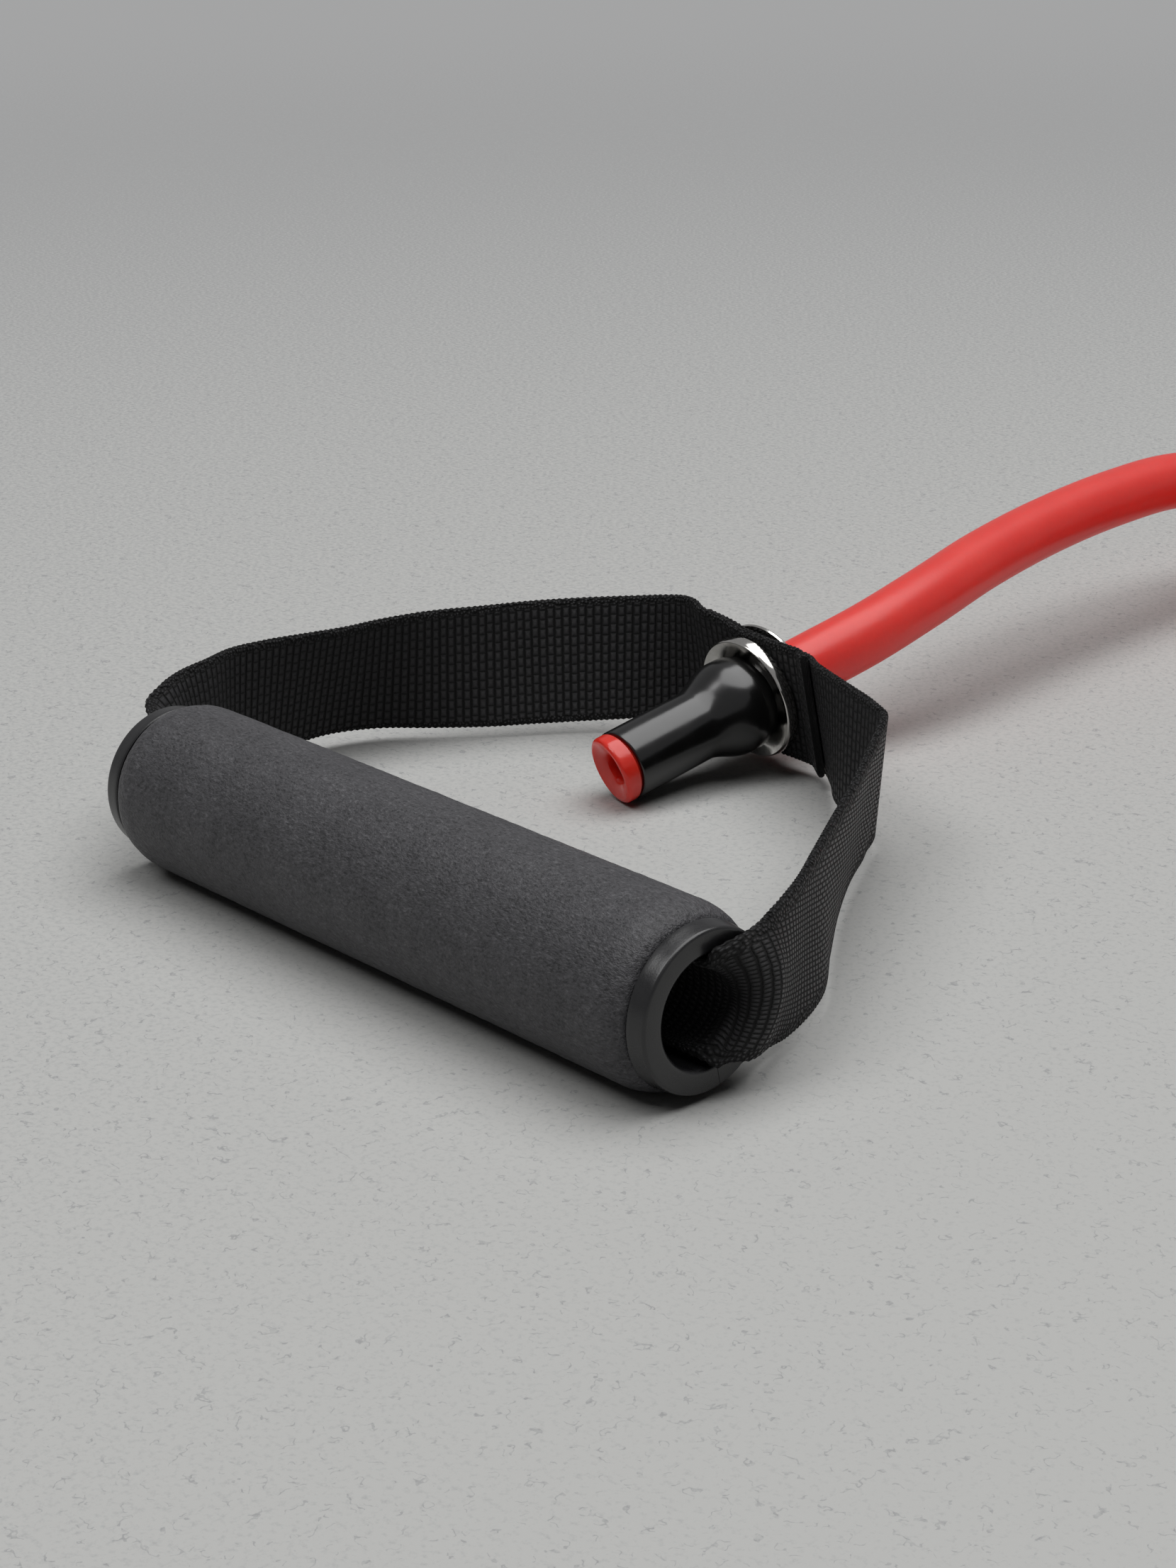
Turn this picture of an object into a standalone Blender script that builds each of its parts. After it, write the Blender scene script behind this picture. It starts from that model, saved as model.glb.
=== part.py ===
"""Resistance tube with two foam handles, laid down as for storage.

One rubber tube runs from handle to handle. At each end it passes through a metal eyelet in
a webbing loop, and a ball pushed into its bore, under a rubber sleeve, stops it from pulling
out. The webbing goes on through a foam grip that turns on it. Handle a lies as in use, the
spare tube is wound in two layers and tied, and handle b lies past the coil.

Metres, +Z up. X runs along the grip of handle a, the webbing loop lies towards +Y, and the
origin is under the middle of that grip, on the floor.
"""
import bmesh
import bpy
from math import cos, degrees, pi, radians, sin, sqrt, tan
from mathutils import Matrix, Vector

# Fits
FIT = 0.0003
ROUND_SIDES = 32
SMALL_SIDES = 24

# Foam grip, its core tube and the two end caps
FOAM_DIAMETER = 0.0300
FOAM_LENGTH = 0.1291
FOAM_END_LENGTH = 0.0048
FOAM_END_DEPTH = 0.0024
REST_FLAT_DEPTH = 0.0004
CAP_BORE = 0.0180
CAP_WALL = 0.0012
CAP_SPIGOT_LENGTH = 0.0200
CAP_FLANGE_DIAMETER = 0.0267
CAP_FLANGE_THICKNESS = 0.0035
CAP_RIM_DEPTH = 0.0012
CAP_MOUTH_ROUND = 0.0008
CORE_WALL = 0.0012

# Webbing strap
WEB_WIDTH = 0.0247
WEB_THICKNESS = 0.0014
WEB_LAYER_GAP = 0.0003
WEB_BORE_CLEARANCE = 0.0009
WEB_STRIPS = 8

# Eyelet, on the line that the tube takes through the webbing
EYELET_X = -0.0319
LOOP_DEPTH = 0.1121
TUBE_TURN = radians(3.0)
TUBE_RISE = radians(12.0)
EYELET_CLEARANCE = 0.0005
EYELET_WALL = 0.0006
EYELET_FLANGE_DIAMETER = 0.0245
EYELET_DOME = 0.0023
EYELET_RIM = 0.0004
EYELET_THROAT = 0.6
EYELET_LIP = 0.0013
EYELET_LIP_THICKNESS = 0.0006
WASHER_DIAMETER = 0.0245
WASHER_THICKNESS = 0.0012

# Tube, and its stopper inside the loop, measured back from the eyelet
TUBE_DIAMETER = 0.0124
TUBE_BORE = 0.0052
STUB_LENGTH = 0.0385
END_LIP_LENGTH = 0.0016
END_LIP_SWELL = 0.0006
NECK_SQUEEZE = 0.00035
SLEEVE_WALL = 0.0007
SLEEVE_BULGE_WALL = 0.0009
BALL_DIAMETER = 0.0100
BALL_LENGTH = 0.0086
BALL_RUBBER_WALL = 0.0026
BULGE_START = 0.0175
BULGE_FULL = 0.0085
BULGE_NOSE = 0.0031

# Coil of the spare tube, and its tie
COIL_X = 0.0220
COIL_Y = 0.3200
COIL_RADIUS = 0.0680
COIL_GAP = 0.0007
COIL_POINTS_PER_TURN = 24
COIL_TURNS = 2.125
COIL_DROP_TURNS = 0.5
TIE_TURN = 0.5
TIE_WIDTH = 0.0120
TIE_THICKNESS = 0.0013
TIE_CLEARANCE = 0.0012
TIE_LIFT_TURNS = 0.15
TIE_OVERLAP = radians(60.0)

# Where handle b lies: its grip's middle, and half a turn about Z
HANDLE_B_X = -0.0126
HANDLE_B_Y = 0.6006
HANDLE_B_TURN = pi

# Worked out from the sizes above
GRIP_RADIUS = FOAM_DIAMETER / 2
GRIP_HEIGHT = GRIP_RADIUS - REST_FLAT_DEPTH
CAP_FACE = FOAM_LENGTH / 2 + FIT + CAP_FLANGE_THICKNESS
CAP_BORE_RADIUS = CAP_BORE / 2
SPIGOT_RADIUS = CAP_BORE_RADIUS + CAP_WALL
CORE_INNER = SPIGOT_RADIUS + FIT
CORE_OUTER = CORE_INNER + CORE_WALL
FOAM_INNER = CORE_OUTER + FIT
TUBE_RADIUS = TUBE_DIAMETER / 2
EYELET_INNER = TUBE_RADIUS + EYELET_CLEARANCE
BARREL_RADIUS = EYELET_INNER + EYELET_WALL
WEB_HOLE_RADIUS = BARREL_RADIUS + FIT
LAYER_STEP = WEB_THICKNESS + WEB_LAYER_GAP
STACK_HALF = WEB_THICKNESS + WEB_LAYER_GAP / 2
CURL_RADIUS = CAP_BORE_RADIUS - WEB_BORE_CLEARANCE - WEB_THICKNESS / 2
FULL_CURL = degrees(WEB_WIDTH / CURL_RADIUS)
EYELET_POINT = Vector((EYELET_X, LOOP_DEPTH, GRIP_HEIGHT))
TUBE_LINE = Vector((sin(TUBE_TURN) * cos(TUBE_RISE), cos(TUBE_TURN) * cos(TUBE_RISE), sin(TUBE_RISE)))
COIL_PITCH = TUBE_DIAMETER + COIL_GAP
COIL_LOW = TUBE_RADIUS
TIE_LIFT = TIE_CLEARANCE + TIE_THICKNESS + FIT / 3


def clear_scene():
    for thing in list(bpy.data.objects):
        bpy.data.objects.remove(thing, do_unlink=True)


def finish(name, colour, roughness, metallic=0.0):
    """One plain material with the colour and gloss of the real piece."""
    material = bpy.data.materials.new(name)
    material.use_nodes = True
    shader = material.node_tree.nodes["Principled BSDF"]
    shader.inputs["Base Color"].default_value = (*colour, 1.0)
    shader.inputs["Roughness"].default_value = roughness
    shader.inputs["Metallic"].default_value = metallic
    material.diffuse_color = (*colour, 1.0)
    return material


def place(name, data, parent=None, matrix=None, material=None):
    """Puts a mesh or curve in the scene, in its parent's frame."""
    thing = bpy.data.objects.new(name, data)
    bpy.context.scene.collection.objects.link(thing)
    thing.parent = parent
    if matrix is not None:
        thing.matrix_basis = matrix
    if material is not None:
        data.materials.append(material)
    return thing


def mesh_from(bm, name, sharp=35.0):
    """Closes a bmesh into a mesh, shaded smooth with its edges kept sharp."""
    bmesh.ops.remove_doubles(bm, verts=bm.verts, dist=1e-6)
    bmesh.ops.recalc_face_normals(bm, faces=bm.faces)
    mesh = bpy.data.meshes.new(name)
    bm.to_mesh(mesh)
    bm.free()
    mesh.shade_smooth()
    mesh.set_sharp_from_angle(angle=radians(sharp))
    return mesh


def turned(profile, closed=True, sides=ROUND_SIDES):
    """Turns a profile of (radius, height) points about Z. An open one ends on the axis."""
    bm = bmesh.new()
    ring = [bm.verts.new((radius, 0.0, height)) for radius, height in profile]
    pairs = list(zip(ring, ring[1:] + ring[:1] if closed else ring[1:]))
    edges = [bm.edges.new(pair) for pair in pairs]
    bmesh.ops.spin(
        bm,
        geom=ring + edges,
        cent=(0.0, 0.0, 0.0),
        axis=(0.0, 0.0, 1.0),
        angle=2 * pi,
        steps=sides,
        use_merge=True,
    )
    return bm


def ease(share):
    share = min(max(share, 0.0), 1.0)
    return share * share * (3 - 2 * share)


def foam_mesh():
    """Foam sleeve with softly rounded ends and a narrow flat where it rests."""
    half = FOAM_LENGTH / 2
    quarter = [radians(a) for a in (90, 60, 30, 0)]
    end = [
        (
            GRIP_RADIUS - FOAM_END_DEPTH * (1 - cos(a)),
            half - FOAM_END_LENGTH * (1 - sin(a)),
        )
        for a in quarter
    ]
    outside = end + [(radius, -height) for radius, height in reversed(end)]
    bm = turned([(FOAM_INNER, half)] + list(outside) + [(FOAM_INNER, -half)])
    cut = bmesh.ops.bisect_plane(
        bm,
        geom=bm.verts[:] + bm.edges[:] + bm.faces[:],
        plane_co=(GRIP_HEIGHT, 0.0, 0.0),
        plane_no=(1.0, 0.0, 0.0),
        clear_outer=True,
    )
    rim = [part for part in cut["geom_cut"] if isinstance(part, bmesh.types.BMEdge)]
    bmesh.ops.holes_fill(bm, edges=rim, sides=0)
    return mesh_from(bm, "foam_grip")


def core_mesh():
    half = FOAM_LENGTH / 2
    return mesh_from(
        turned([(CORE_INNER, half), (CORE_OUTER, half), (CORE_OUTER, -half), (CORE_INNER, -half)]),
        "grip_core",
    )


def cap_mesh():
    """End cap: a bored spigot in the core and a flange with a sloped rim over the foam."""
    flange = CAP_FLANGE_DIAMETER / 2
    back = CAP_FACE - CAP_FLANGE_THICKNESS
    rim_steps = [(1 - sin(a), 1 - cos(a)) for a in (radians(d) for d in (0, 45, 90))]
    rim = [
        (flange - CAP_RIM_DEPTH * inward, CAP_FACE - (CAP_FLANGE_THICKNESS - 2 * FIT) * down)
        for inward, down in rim_steps
    ]
    mouth = [
        (CAP_BORE_RADIUS + CAP_MOUTH_ROUND * (1 - cos(a)), CAP_FACE - CAP_MOUTH_ROUND * (1 - sin(a)))
        for a in (radians(d) for d in (0, 90))
    ]
    profile = mouth + rim + [
        (flange, back),
        (SPIGOT_RADIUS, back),
        (SPIGOT_RADIUS, back - CAP_SPIGOT_LENGTH + CAP_MOUTH_ROUND),
        (SPIGOT_RADIUS - CAP_WALL / 3, back - CAP_SPIGOT_LENGTH),
        (CAP_BORE_RADIUS, back - CAP_SPIGOT_LENGTH),
    ]
    return mesh_from(turned(profile), "end_cap")


def neck_radius():
    return TUBE_RADIUS - NECK_SQUEEZE


def bulge_radius():
    """Outside of the rubber where it is stretched over the ball."""
    return BALL_DIAMETER / 2 + FIT + BALL_RUBBER_WALL


def nose_end():
    """How far in front of the eyelet's middle the sleeve ends."""
    return STACK_HALF + FIT + EYELET_DOME * (1 - EYELET_THROAT) + 1.5 * FIT


def tube_nose():
    """How far in front of the eyelet's middle the tube's bulge ends, inside the sleeve."""
    return nose_end() + SLEEVE_BULGE_WALL + FIT


def ball_centre():
    return (tube_nose() + BULGE_NOSE + BULGE_FULL) / 2


def swell(narrow, wide):
    """Widens from the neck to the bulge, as (radius, height) points."""
    steps = 4
    points = []
    for i in range(steps + 1):
        share = i / steps
        points.append((narrow + (wide - narrow) * ease(share), (BULGE_START - BULGE_FULL) * share - BULGE_START))
    return points


def nose(wide, narrow, front, depth):
    """Rounds the bulge off towards the eyelet, as (radius, height) points."""
    angles = [radians(a) for a in (0, 45, 90)]
    return [(narrow + (wide - narrow) * cos(a), -front - depth * (1 - sin(a))) for a in angles]


def tube_end_mesh():
    """The tube's open end: a lip past the sleeve, a squeezed neck, the bulge over the ball
    and the plain tube in the eyelet. Z points out of the loop, and the eyelet is at zero."""
    lip = neck_radius() + FIT + SLEEVE_WALL - END_LIP_SWELL / 4
    end = -STUB_LENGTH
    outside = [
        (lip - END_LIP_SWELL / 2, end),
        (lip, end + END_LIP_SWELL / 2),
        (lip, end + END_LIP_LENGTH - END_LIP_SWELL / 3),
        (neck_radius(), end + END_LIP_LENGTH),
    ]
    outside += swell(neck_radius(), bulge_radius())
    outside += nose(bulge_radius(), TUBE_RADIUS, tube_nose(), BULGE_NOSE)
    outside.append((TUBE_RADIUS, -FIT / 2))
    room = BALL_DIAMETER / 2 + FIT
    middle = -ball_centre()
    bore = TUBE_BORE / 2
    reach = sqrt(room**2 - bore**2)
    blind = min(middle + reach + 2 * FIT, -5 * FIT)
    angles = [radians(a) for a in (50, 0, -50)]
    hollow = [(0.0, blind), (bore, blind)]
    hollow += [(bore + (room - bore) * cos(a), middle + reach * sin(a)) for a in angles]
    hollow += [(bore, middle - reach), (bore, end)]
    profile = [(0.0, -FIT / 2)] + outside[::-1] + hollow[::-1]
    return mesh_from(turned(profile, False, SMALL_SIDES), "tube_end")


def ball_mesh():
    """Hard ball in the tube's bore, that the rubber is stretched over."""
    steps = 7
    radius = BALL_DIAMETER / 2 - FIT
    profile = []
    for i in range(steps + 1):
        angle = pi * i / steps
        wide = radius * sin(angle) if 0 < i < steps else 0.0
        profile.append((wide, -ball_centre() + BALL_LENGTH / 2 * cos(angle)))
    return mesh_from(turned(profile, False, SMALL_SIDES), "stopper_ball")


def sleeve_mesh():
    """Glossy rubber sleeve, drawn over the tube's end and the ball."""
    inner = neck_radius() + FIT
    outer = inner + SLEEVE_WALL
    inner_wide = bulge_radius() + FIT
    outer_wide = inner_wide + SLEEVE_BULGE_WALL
    start = -STUB_LENGTH + END_LIP_LENGTH + FIT
    throat = TUBE_RADIUS + FIT
    outside = [(outer - SLEEVE_WALL / 3, start), (outer, start + SLEEVE_WALL / 2)]
    outside += swell(outer, outer_wide)
    outside += nose(outer_wide, throat, nose_end(), BULGE_NOSE + 1.5 * SLEEVE_BULGE_WALL)
    inside = [(inner, start)] + swell(inner, inner_wide)
    inside += nose(inner_wide, throat, tube_nose() - FIT, BULGE_NOSE)
    return mesh_from(turned(outside + inside[::-1], True, SMALL_SIDES), "stopper_sleeve")


def eyelet_mesh():
    """Rolled metal eyelet: domed flange inside the loop, barrel, and a lip over the washer."""
    front = -(STACK_HALF + FIT)
    back = STACK_HALF + FIT + WASHER_THICKNESS + FIT
    edge = EYELET_FLANGE_DIAMETER / 2
    crown = BARREL_RADIUS + (edge - BARREL_RADIUS) * 0.35
    dome = [
        (
            crown + (edge - crown) * sin(a),
            front - EYELET_RIM - (EYELET_DOME - EYELET_RIM) * cos(a),
        )
        for a in (radians(d) for d in (0, 30, 60, 90))
    ]
    throat = [
        (
            crown - (crown - EYELET_INNER) * sin(a),
            front - EYELET_DOME + EYELET_DOME * EYELET_THROAT * (1 - cos(a)),
        )
        for a in (radians(d) for d in (90, 60, 30))
    ]
    profile = throat + dome + [
        (edge, front),
        (BARREL_RADIUS, front),
        (BARREL_RADIUS, back),
        (BARREL_RADIUS + EYELET_LIP, back),
        (BARREL_RADIUS + EYELET_LIP * 0.8, back + EYELET_LIP_THICKNESS),
        (EYELET_INNER + EYELET_WALL * 0.5, back + EYELET_LIP_THICKNESS),
        (EYELET_INNER, back),
    ]
    return mesh_from(turned(profile, True, SMALL_SIDES), "eyelet")


def washer_mesh():
    """Domed washer behind the webbing, under the eyelet's rolled lip."""
    front = STACK_HALF + FIT
    edge = WASHER_DIAMETER / 2
    inner = WEB_HOLE_RADIUS
    profile = [
        (inner, front),
        (edge, front),
        (edge, front + WASHER_THICKNESS * 0.3),
        (edge - WASHER_THICKNESS * 0.8, front + WASHER_THICKNESS * 0.85),
        (edge - WASHER_THICKNESS * 2.0, front + WASHER_THICKNESS),
        (inner, front + WASHER_THICKNESS),
    ]
    return mesh_from(turned(profile, True, SMALL_SIDES), "eyelet_washer")


def station(x, y, lean=0.0, rise=0.0, curl=0.0, held=False):
    """One place along the strap's middle line: its plan place, how far the top edge leans
    towards the inside of the loop in degrees, how much higher than the grip's axis it
    lies, and the arc in degrees that the edges are curled through. The webbing keeps its
    straight line between two places where it is held."""
    return (Vector((x, y, GRIP_HEIGHT + rise)), lean, curl, held, None)


def crease(middle, top, low, held=False):
    """One place given by the webbing's middle and its two edges."""
    return (Vector(middle), 0.0, 0.0, held, (Vector(top), Vector(low)))


def flat_station(along, layer, lift):
    """A place on the flat webbing at the eyelet, for the inner (-1) or the outer (1) layer."""
    across = Vector((cos(TUBE_TURN), -sin(TUBE_TURN), 0.0))
    upright = across.cross(TUBE_LINE)
    spot = EYELET_POINT + across * along + TUBE_LINE * layer * LAYER_STEP / 2 + upright * lift
    return crease(spot, spot + upright * WEB_WIDTH / 2, spot - upright * WEB_WIDTH / 2, True)


def leg_x(x, y):
    """Spreads the legs with the grip's length: fully at the grip, not at all at the eyelet."""
    chosen_half = 0.06835
    share = min(max(1 - y / LOOP_DEPTH, 0.0), 1.0)
    return x + (CAP_FACE - chosen_half) * share * (1 if x > 0 else -1)


def webbing_stations():
    """The strap from the inner layer's cut end, round through the grip, to the outer's."""
    clamp = EYELET_FLANGE_DIAMETER / 2 + FIT
    chosen_depth = 0.1121
    face = CAP_FACE
    rim = CAP_FLANGE_DIAMETER / 2
    bore = CAP_BORE_RADIUS
    top = GRIP_HEIGHT + WEB_WIDTH / 2
    low = GRIP_HEIGHT - WEB_WIDTH / 2

    def at(x, y, lean=0.0, rise=0.0):
        return station(leg_x(x, y), y * LOOP_DEPTH / chosen_depth, lean, rise)

    def by_cap(side, out, y, curl, held=False):
        return station(side * (face + out), y, 0.0, 0.0, curl, held)

    def slanted(top_x, top_y, low_x, low_y):
        above = Vector((leg_x(top_x, top_y), top_y * LOOP_DEPTH / chosen_depth, top))
        below = Vector((leg_x(low_x, low_y), low_y * LOOP_DEPTH / chosen_depth, low))
        return crease((above + below) / 2, above, below)

    inner_flat = [
        at(-0.0476, 0.1126, 6.0, 0.0026),
        flat_station(-clamp, -1, 0.0024),
        flat_station(0.0, -1, 0.0010),
        flat_station(clamp, -1, -0.0005),
    ]
    right_leg = [
        at(-0.0100, 0.1060, 9.0, -0.0004),
        at(-0.0035, 0.1023, 3.0, -0.0002),
        at(0.0030, 0.0995),
        slanted(0.0087, 0.0974, 0.0076, 0.0977),
        slanted(0.0138, 0.0950, 0.0121, 0.0956),
        slanted(0.0168, 0.0934, 0.0145, 0.0936),
        slanted(0.0188, 0.0912, 0.0164, 0.0909),
        slanted(0.0206, 0.0887, 0.0179, 0.0881),
        slanted(0.0238, 0.0841, 0.0209, 0.0836),
        at(0.0256, 0.0787, -7.0),
        at(0.0367, 0.0626, -6.5),
        at(0.0467, 0.0486, -1.6),
        at(0.0565, 0.0350, 3.3),
        at(0.0612, 0.0267, 1.0),
    ]
    right_exit = [
        crease((face - 0.0040, 0.0216, GRIP_HEIGHT), (face - 0.0045, 0.0213, top), (face - 0.0050, 0.0211, low)),
        crease(
            (face - 0.0004, 0.0160, GRIP_HEIGHT + 0.0003),
            (face - 0.0014, 0.0142, top - 0.0004),
            (face - 0.0034, 0.0158, low + 0.0007),
        ),
        crease(
            (face + 0.0024, 0.0112, GRIP_HEIGHT + 0.0010),
            (face - 0.0002, rim - 0.0045, top - 0.0015),
            (face + 0.0012, rim - 0.0069, low + 0.0029),
        ),
        crease(
            (face + 0.0013, bore - 0.0003, GRIP_HEIGHT + 0.0002),
            (face + 0.0014, 0.0034, top - 0.0012),
            (face + 0.0014, 0.0025, low + 0.0038),
        ),
        crease(
            (face - 0.0004, CURL_RADIUS + 0.0002, GRIP_HEIGHT),
            (face + 0.0011, -0.0007, GRIP_HEIGHT + bore + 0.0011),
            (face + 0.0011, 0.0003, GRIP_HEIGHT - bore + 0.0001),
        ),
        crease(
            (face - 0.0018, CURL_RADIUS, GRIP_HEIGHT),
            (face - 0.0003, -0.0006, GRIP_HEIGHT + CURL_RADIUS + 0.0006),
            (face - 0.0003, -0.0006, GRIP_HEIGHT - CURL_RADIUS - 0.0006),
        ),
    ]
    through = [by_cap(1, -0.0040, CURL_RADIUS, FULL_CURL)]
    through += [by_cap(1, -0.0070, CURL_RADIUS, FULL_CURL, True), by_cap(-1, -0.0070, CURL_RADIUS, FULL_CURL, True)]
    left_exit = [
        by_cap(-1, -0.0005, CURL_RADIUS, 0.97 * FULL_CURL),
        by_cap(-1, 0.0045, CURL_RADIUS + 0.0002, 0.80 * FULL_CURL),
        by_cap(-1, 0.0088, CURL_RADIUS + 0.0012, 0.58 * FULL_CURL),
        by_cap(-1, 0.0119, CURL_RADIUS + 0.0041, 70.0),
        by_cap(-1, 0.0160, CURL_RADIUS + 0.0092, 38.0),
        by_cap(-1, 0.0190, CURL_RADIUS + 0.0158, 15.0),
    ]
    left_leg = [
        at(-0.0911, 0.0305, 3.0),
        at(-0.0921, 0.0380, 8.0),
        at(-0.0922, 0.0470, 14.0),
        at(-0.0914, 0.0560, 17.0),
        at(-0.0894, 0.0645, 13.0),
        at(-0.0848, 0.0735, 4.0),
        at(-0.0791, 0.0830, -3.0),
        at(-0.0744, 0.0922, -8.0),
        at(-0.0683, 0.1005, -9.0, 0.0003),
        at(-0.0618, 0.1070, -8.0, 0.0009),
        at(-0.0572, 0.1112, -6.0, 0.0015),
        at(-0.0528, 0.1146, -3.0, 0.0021),
        at(-0.0488, 0.1153, 3.0, 0.0025),
    ]
    outer_flat = [flat_station(a, 1, lift) for a, lift in ((-clamp, 0.0027), (0.0, 0.0013), (clamp, 0.0009))]
    outer_end = [at(-0.0136, 0.1101, 11.0, 0.0008)]
    return inner_flat + right_leg + right_exit + through + left_exit + left_leg + outer_flat + outer_end


def webbing_line(stations, i):
    """The plan direction of the strap at one of its stations."""
    spots = [s[0].xy.to_3d() for s in stations]
    before = (spots[i] - spots[max(i - 1, 0)]).normalized()
    after = (spots[min(i + 1, len(spots) - 1)] - spots[i]).normalized()
    return (before + after).normalized()


def webbing_section(place_on, travel):
    """Points across the middle of the webbing at one station, low edge first."""
    middle, lean, curl, _, edges = place_on
    shares = [2 * i / WEB_STRIPS - 1 for i in range(WEB_STRIPS + 1)]
    if edges:
        top, low = edges
        bow = (top + low) / 2 - middle
        return [middle + (top - low) * share / 2 + bow * share**2 for share in shares]
    inward = Vector((travel.y, -travel.x, 0.0))
    upward = Vector((0.0, 0.0, 1.0))
    tilt = radians(lean)
    up = upward * cos(tilt) + inward * sin(tilt)
    into = inward * cos(tilt) - upward * sin(tilt)
    arc = max(radians(curl), 1e-4)
    radius = WEB_WIDTH / arc
    bends = [share * arc / 2 for share in shares]
    return [middle + up * radius * sin(bend) - into * radius * (1 - cos(bend)) for bend in bends]


def webbing_rows():
    """Sections along the whole strap, with one more between those that bend sharply."""
    stations = webbing_stations()
    rows = [webbing_section(s, webbing_line(stations, i)) for i, s in enumerate(stations)]
    held = [s[3] for s in stations]
    bent = [s[2] > 12.0 or (s[4] is not None and not s[3]) for s in stations]
    eased, eased_held = [], []
    last = len(rows) - 1
    for i, here in enumerate(rows[:-1]):
        after = rows[i + 1]
        eased.append(here)
        eased_held.append(held[i])
        if held[i] or held[i + 1] or not (bent[i] and bent[i + 1]):
            continue
        four = zip(rows[max(i - 1, 0)], here, after, rows[min(i + 2, last)])
        eased.append([(9 * (b + c) - a - d) / 16 for a, b, c, d in four])
        eased_held.append(False)
    return eased + [rows[-1]], eased_held + [held[-1]]


def webbing_mesh(matrix):
    """One length of webbing, swept along its rows and closed at both cut ends."""
    rows, held = webbing_rows()
    bm = bmesh.new()
    rings = []
    last = len(rows) - 1
    for i, row in enumerate(rows):
        from_held = held[i] and i > 0 and held[i - 1]
        to_held = held[i] and i < last and held[i + 1]
        ahead = row if from_held and not to_held else rows[min(i + 1, last)]
        behind = row if to_held and not from_held else rows[max(i - 1, 0)]
        inner, outer = [], []
        for j, spot in enumerate(row):
            along = ahead[j] - behind[j]
            across = row[min(j + 1, WEB_STRIPS)] - row[max(j - 1, 0)]
            normal = along.cross(across).normalized()
            inner.append(spot + normal * WEB_THICKNESS / 2)
            outer.append(spot - normal * WEB_THICKNESS / 2)
        rings.append([bm.verts.new(matrix @ spot) for spot in inner + outer[::-1]])
    around = len(rings[0])
    for ring, following in zip(rings, rings[1:]):
        for j in range(around):
            k = (j + 1) % around
            bm.faces.new((ring[j], ring[k], following[k], following[j]))
    for ring in (rings[0], rings[-1]):
        for j in range(WEB_STRIPS):
            bm.faces.new((ring[j], ring[j + 1], ring[around - 2 - j], ring[around - 1 - j]))
    return mesh_from(bm, "strap", 50.0)


def axis_matrix(point, direction, side):
    """A frame at a point with Z along a direction and X as near as can be to side."""
    z = direction.normalized()
    y = z.cross(side).normalized()
    x = y.cross(z)
    return Matrix.Translation(point) @ Matrix((x, y, z)).transposed().to_4x4()


def build_handle(side, placement, finishes):
    """One handle, and the tube's end with its stopper, under the empty at its placement."""
    base = place("handle_" + side, None, matrix=placement)
    base.empty_display_size = FOAM_DIAMETER
    line = axis_matrix(EYELET_POINT, TUBE_LINE, Vector((1.0, 0.0, 0.0)))
    swivel = place("swivel_axis_" + side, None, base, line)
    grip_frame = axis_matrix(Vector((0.0, 0.0, GRIP_HEIGHT)), Vector((1.0, 0.0, 0.0)), Vector((0.0, 0.0, -1.0)))
    grip = place("grip_axis_" + side, None, swivel, line.inverted() @ grip_frame)
    place("tube_end_" + side, tube_end_mesh(), swivel, None, finishes["tube"])
    place("stopper_ball_" + side, ball_mesh(), swivel, None, finishes["ball"])
    place("stopper_sleeve_" + side, sleeve_mesh(), swivel, None, finishes["sleeve"])
    place("eyelet_" + side, eyelet_mesh(), swivel, None, finishes["metal"])
    place("eyelet_washer_" + side, washer_mesh(), swivel, None, finishes["metal"])
    strap = place("strap_" + side, webbing_mesh(line.inverted()), swivel, None, finishes["webbing"])
    punch_hole(strap, swivel, side)
    place("foam_grip_" + side, foam_mesh(), grip, None, finishes["foam"])
    place("grip_core_" + side, core_mesh(), grip, None, finishes["core"])
    half_turn = Matrix.Rotation(pi, 4, "X")
    place("end_cap_right_" + side, cap_mesh(), grip, None, finishes["cap"])
    place("end_cap_left_" + side, cap_mesh(), grip, half_turn, finishes["cap"])


def punch_hole(strap, swivel, side):
    """Punches the eyelet's hole through both layers of webbing."""
    bm = bmesh.new()
    reach = 4 * STACK_HALF
    bmesh.ops.create_cone(
        bm,
        cap_ends=True,
        segments=SMALL_SIDES,
        radius1=WEB_HOLE_RADIUS,
        radius2=WEB_HOLE_RADIUS,
        depth=reach,
    )
    punch = place("punch_" + side, mesh_from(bm, "punch"), swivel)
    punch.hide_render = True
    punch.display_type = "WIRE"
    cut = strap.modifiers.new("eyelet_hole", "BOOLEAN")
    cut.operation = "DIFFERENCE"
    cut.solver = "EXACT"
    cut.object = punch


def between(points, share):
    """A place between the middle two of four points, on a smooth curve through all."""
    a, b, c, d = points
    return 0.5 * (
        2 * b + (c - a) * share + (2 * a - 5 * b + 4 * c - d) * share**2 + (3 * b - a - 3 * c + d) * share**3
    )


def smooth_line(route, step):
    """Points at even steps on a smooth curve through the route's own points."""
    fine = []
    pieces = 16
    last = len(route) - 1
    for i in range(last):
        near = [route[max(i - 1, 0)], route[i], route[i + 1], route[min(i + 2, last)]]
        fine += [between(near, k / pieces) for k in range(pieces)]
    fine.append(route[-1])
    lengths = [0.0]
    for a, b in zip(fine, fine[1:]):
        lengths.append(lengths[-1] + (b - a).length)
    count = max(int(round(lengths[-1] / step)), 2)
    even = []
    j = 0
    for i in range(count + 1):
        goal = lengths[-1] * i / count
        while j < len(lengths) - 2 and lengths[j + 1] < goal:
            j += 1
        share = (goal - lengths[j]) / (lengths[j + 1] - lengths[j])
        even.append(fine[j].lerp(fine[j + 1], share))
    return even


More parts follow.
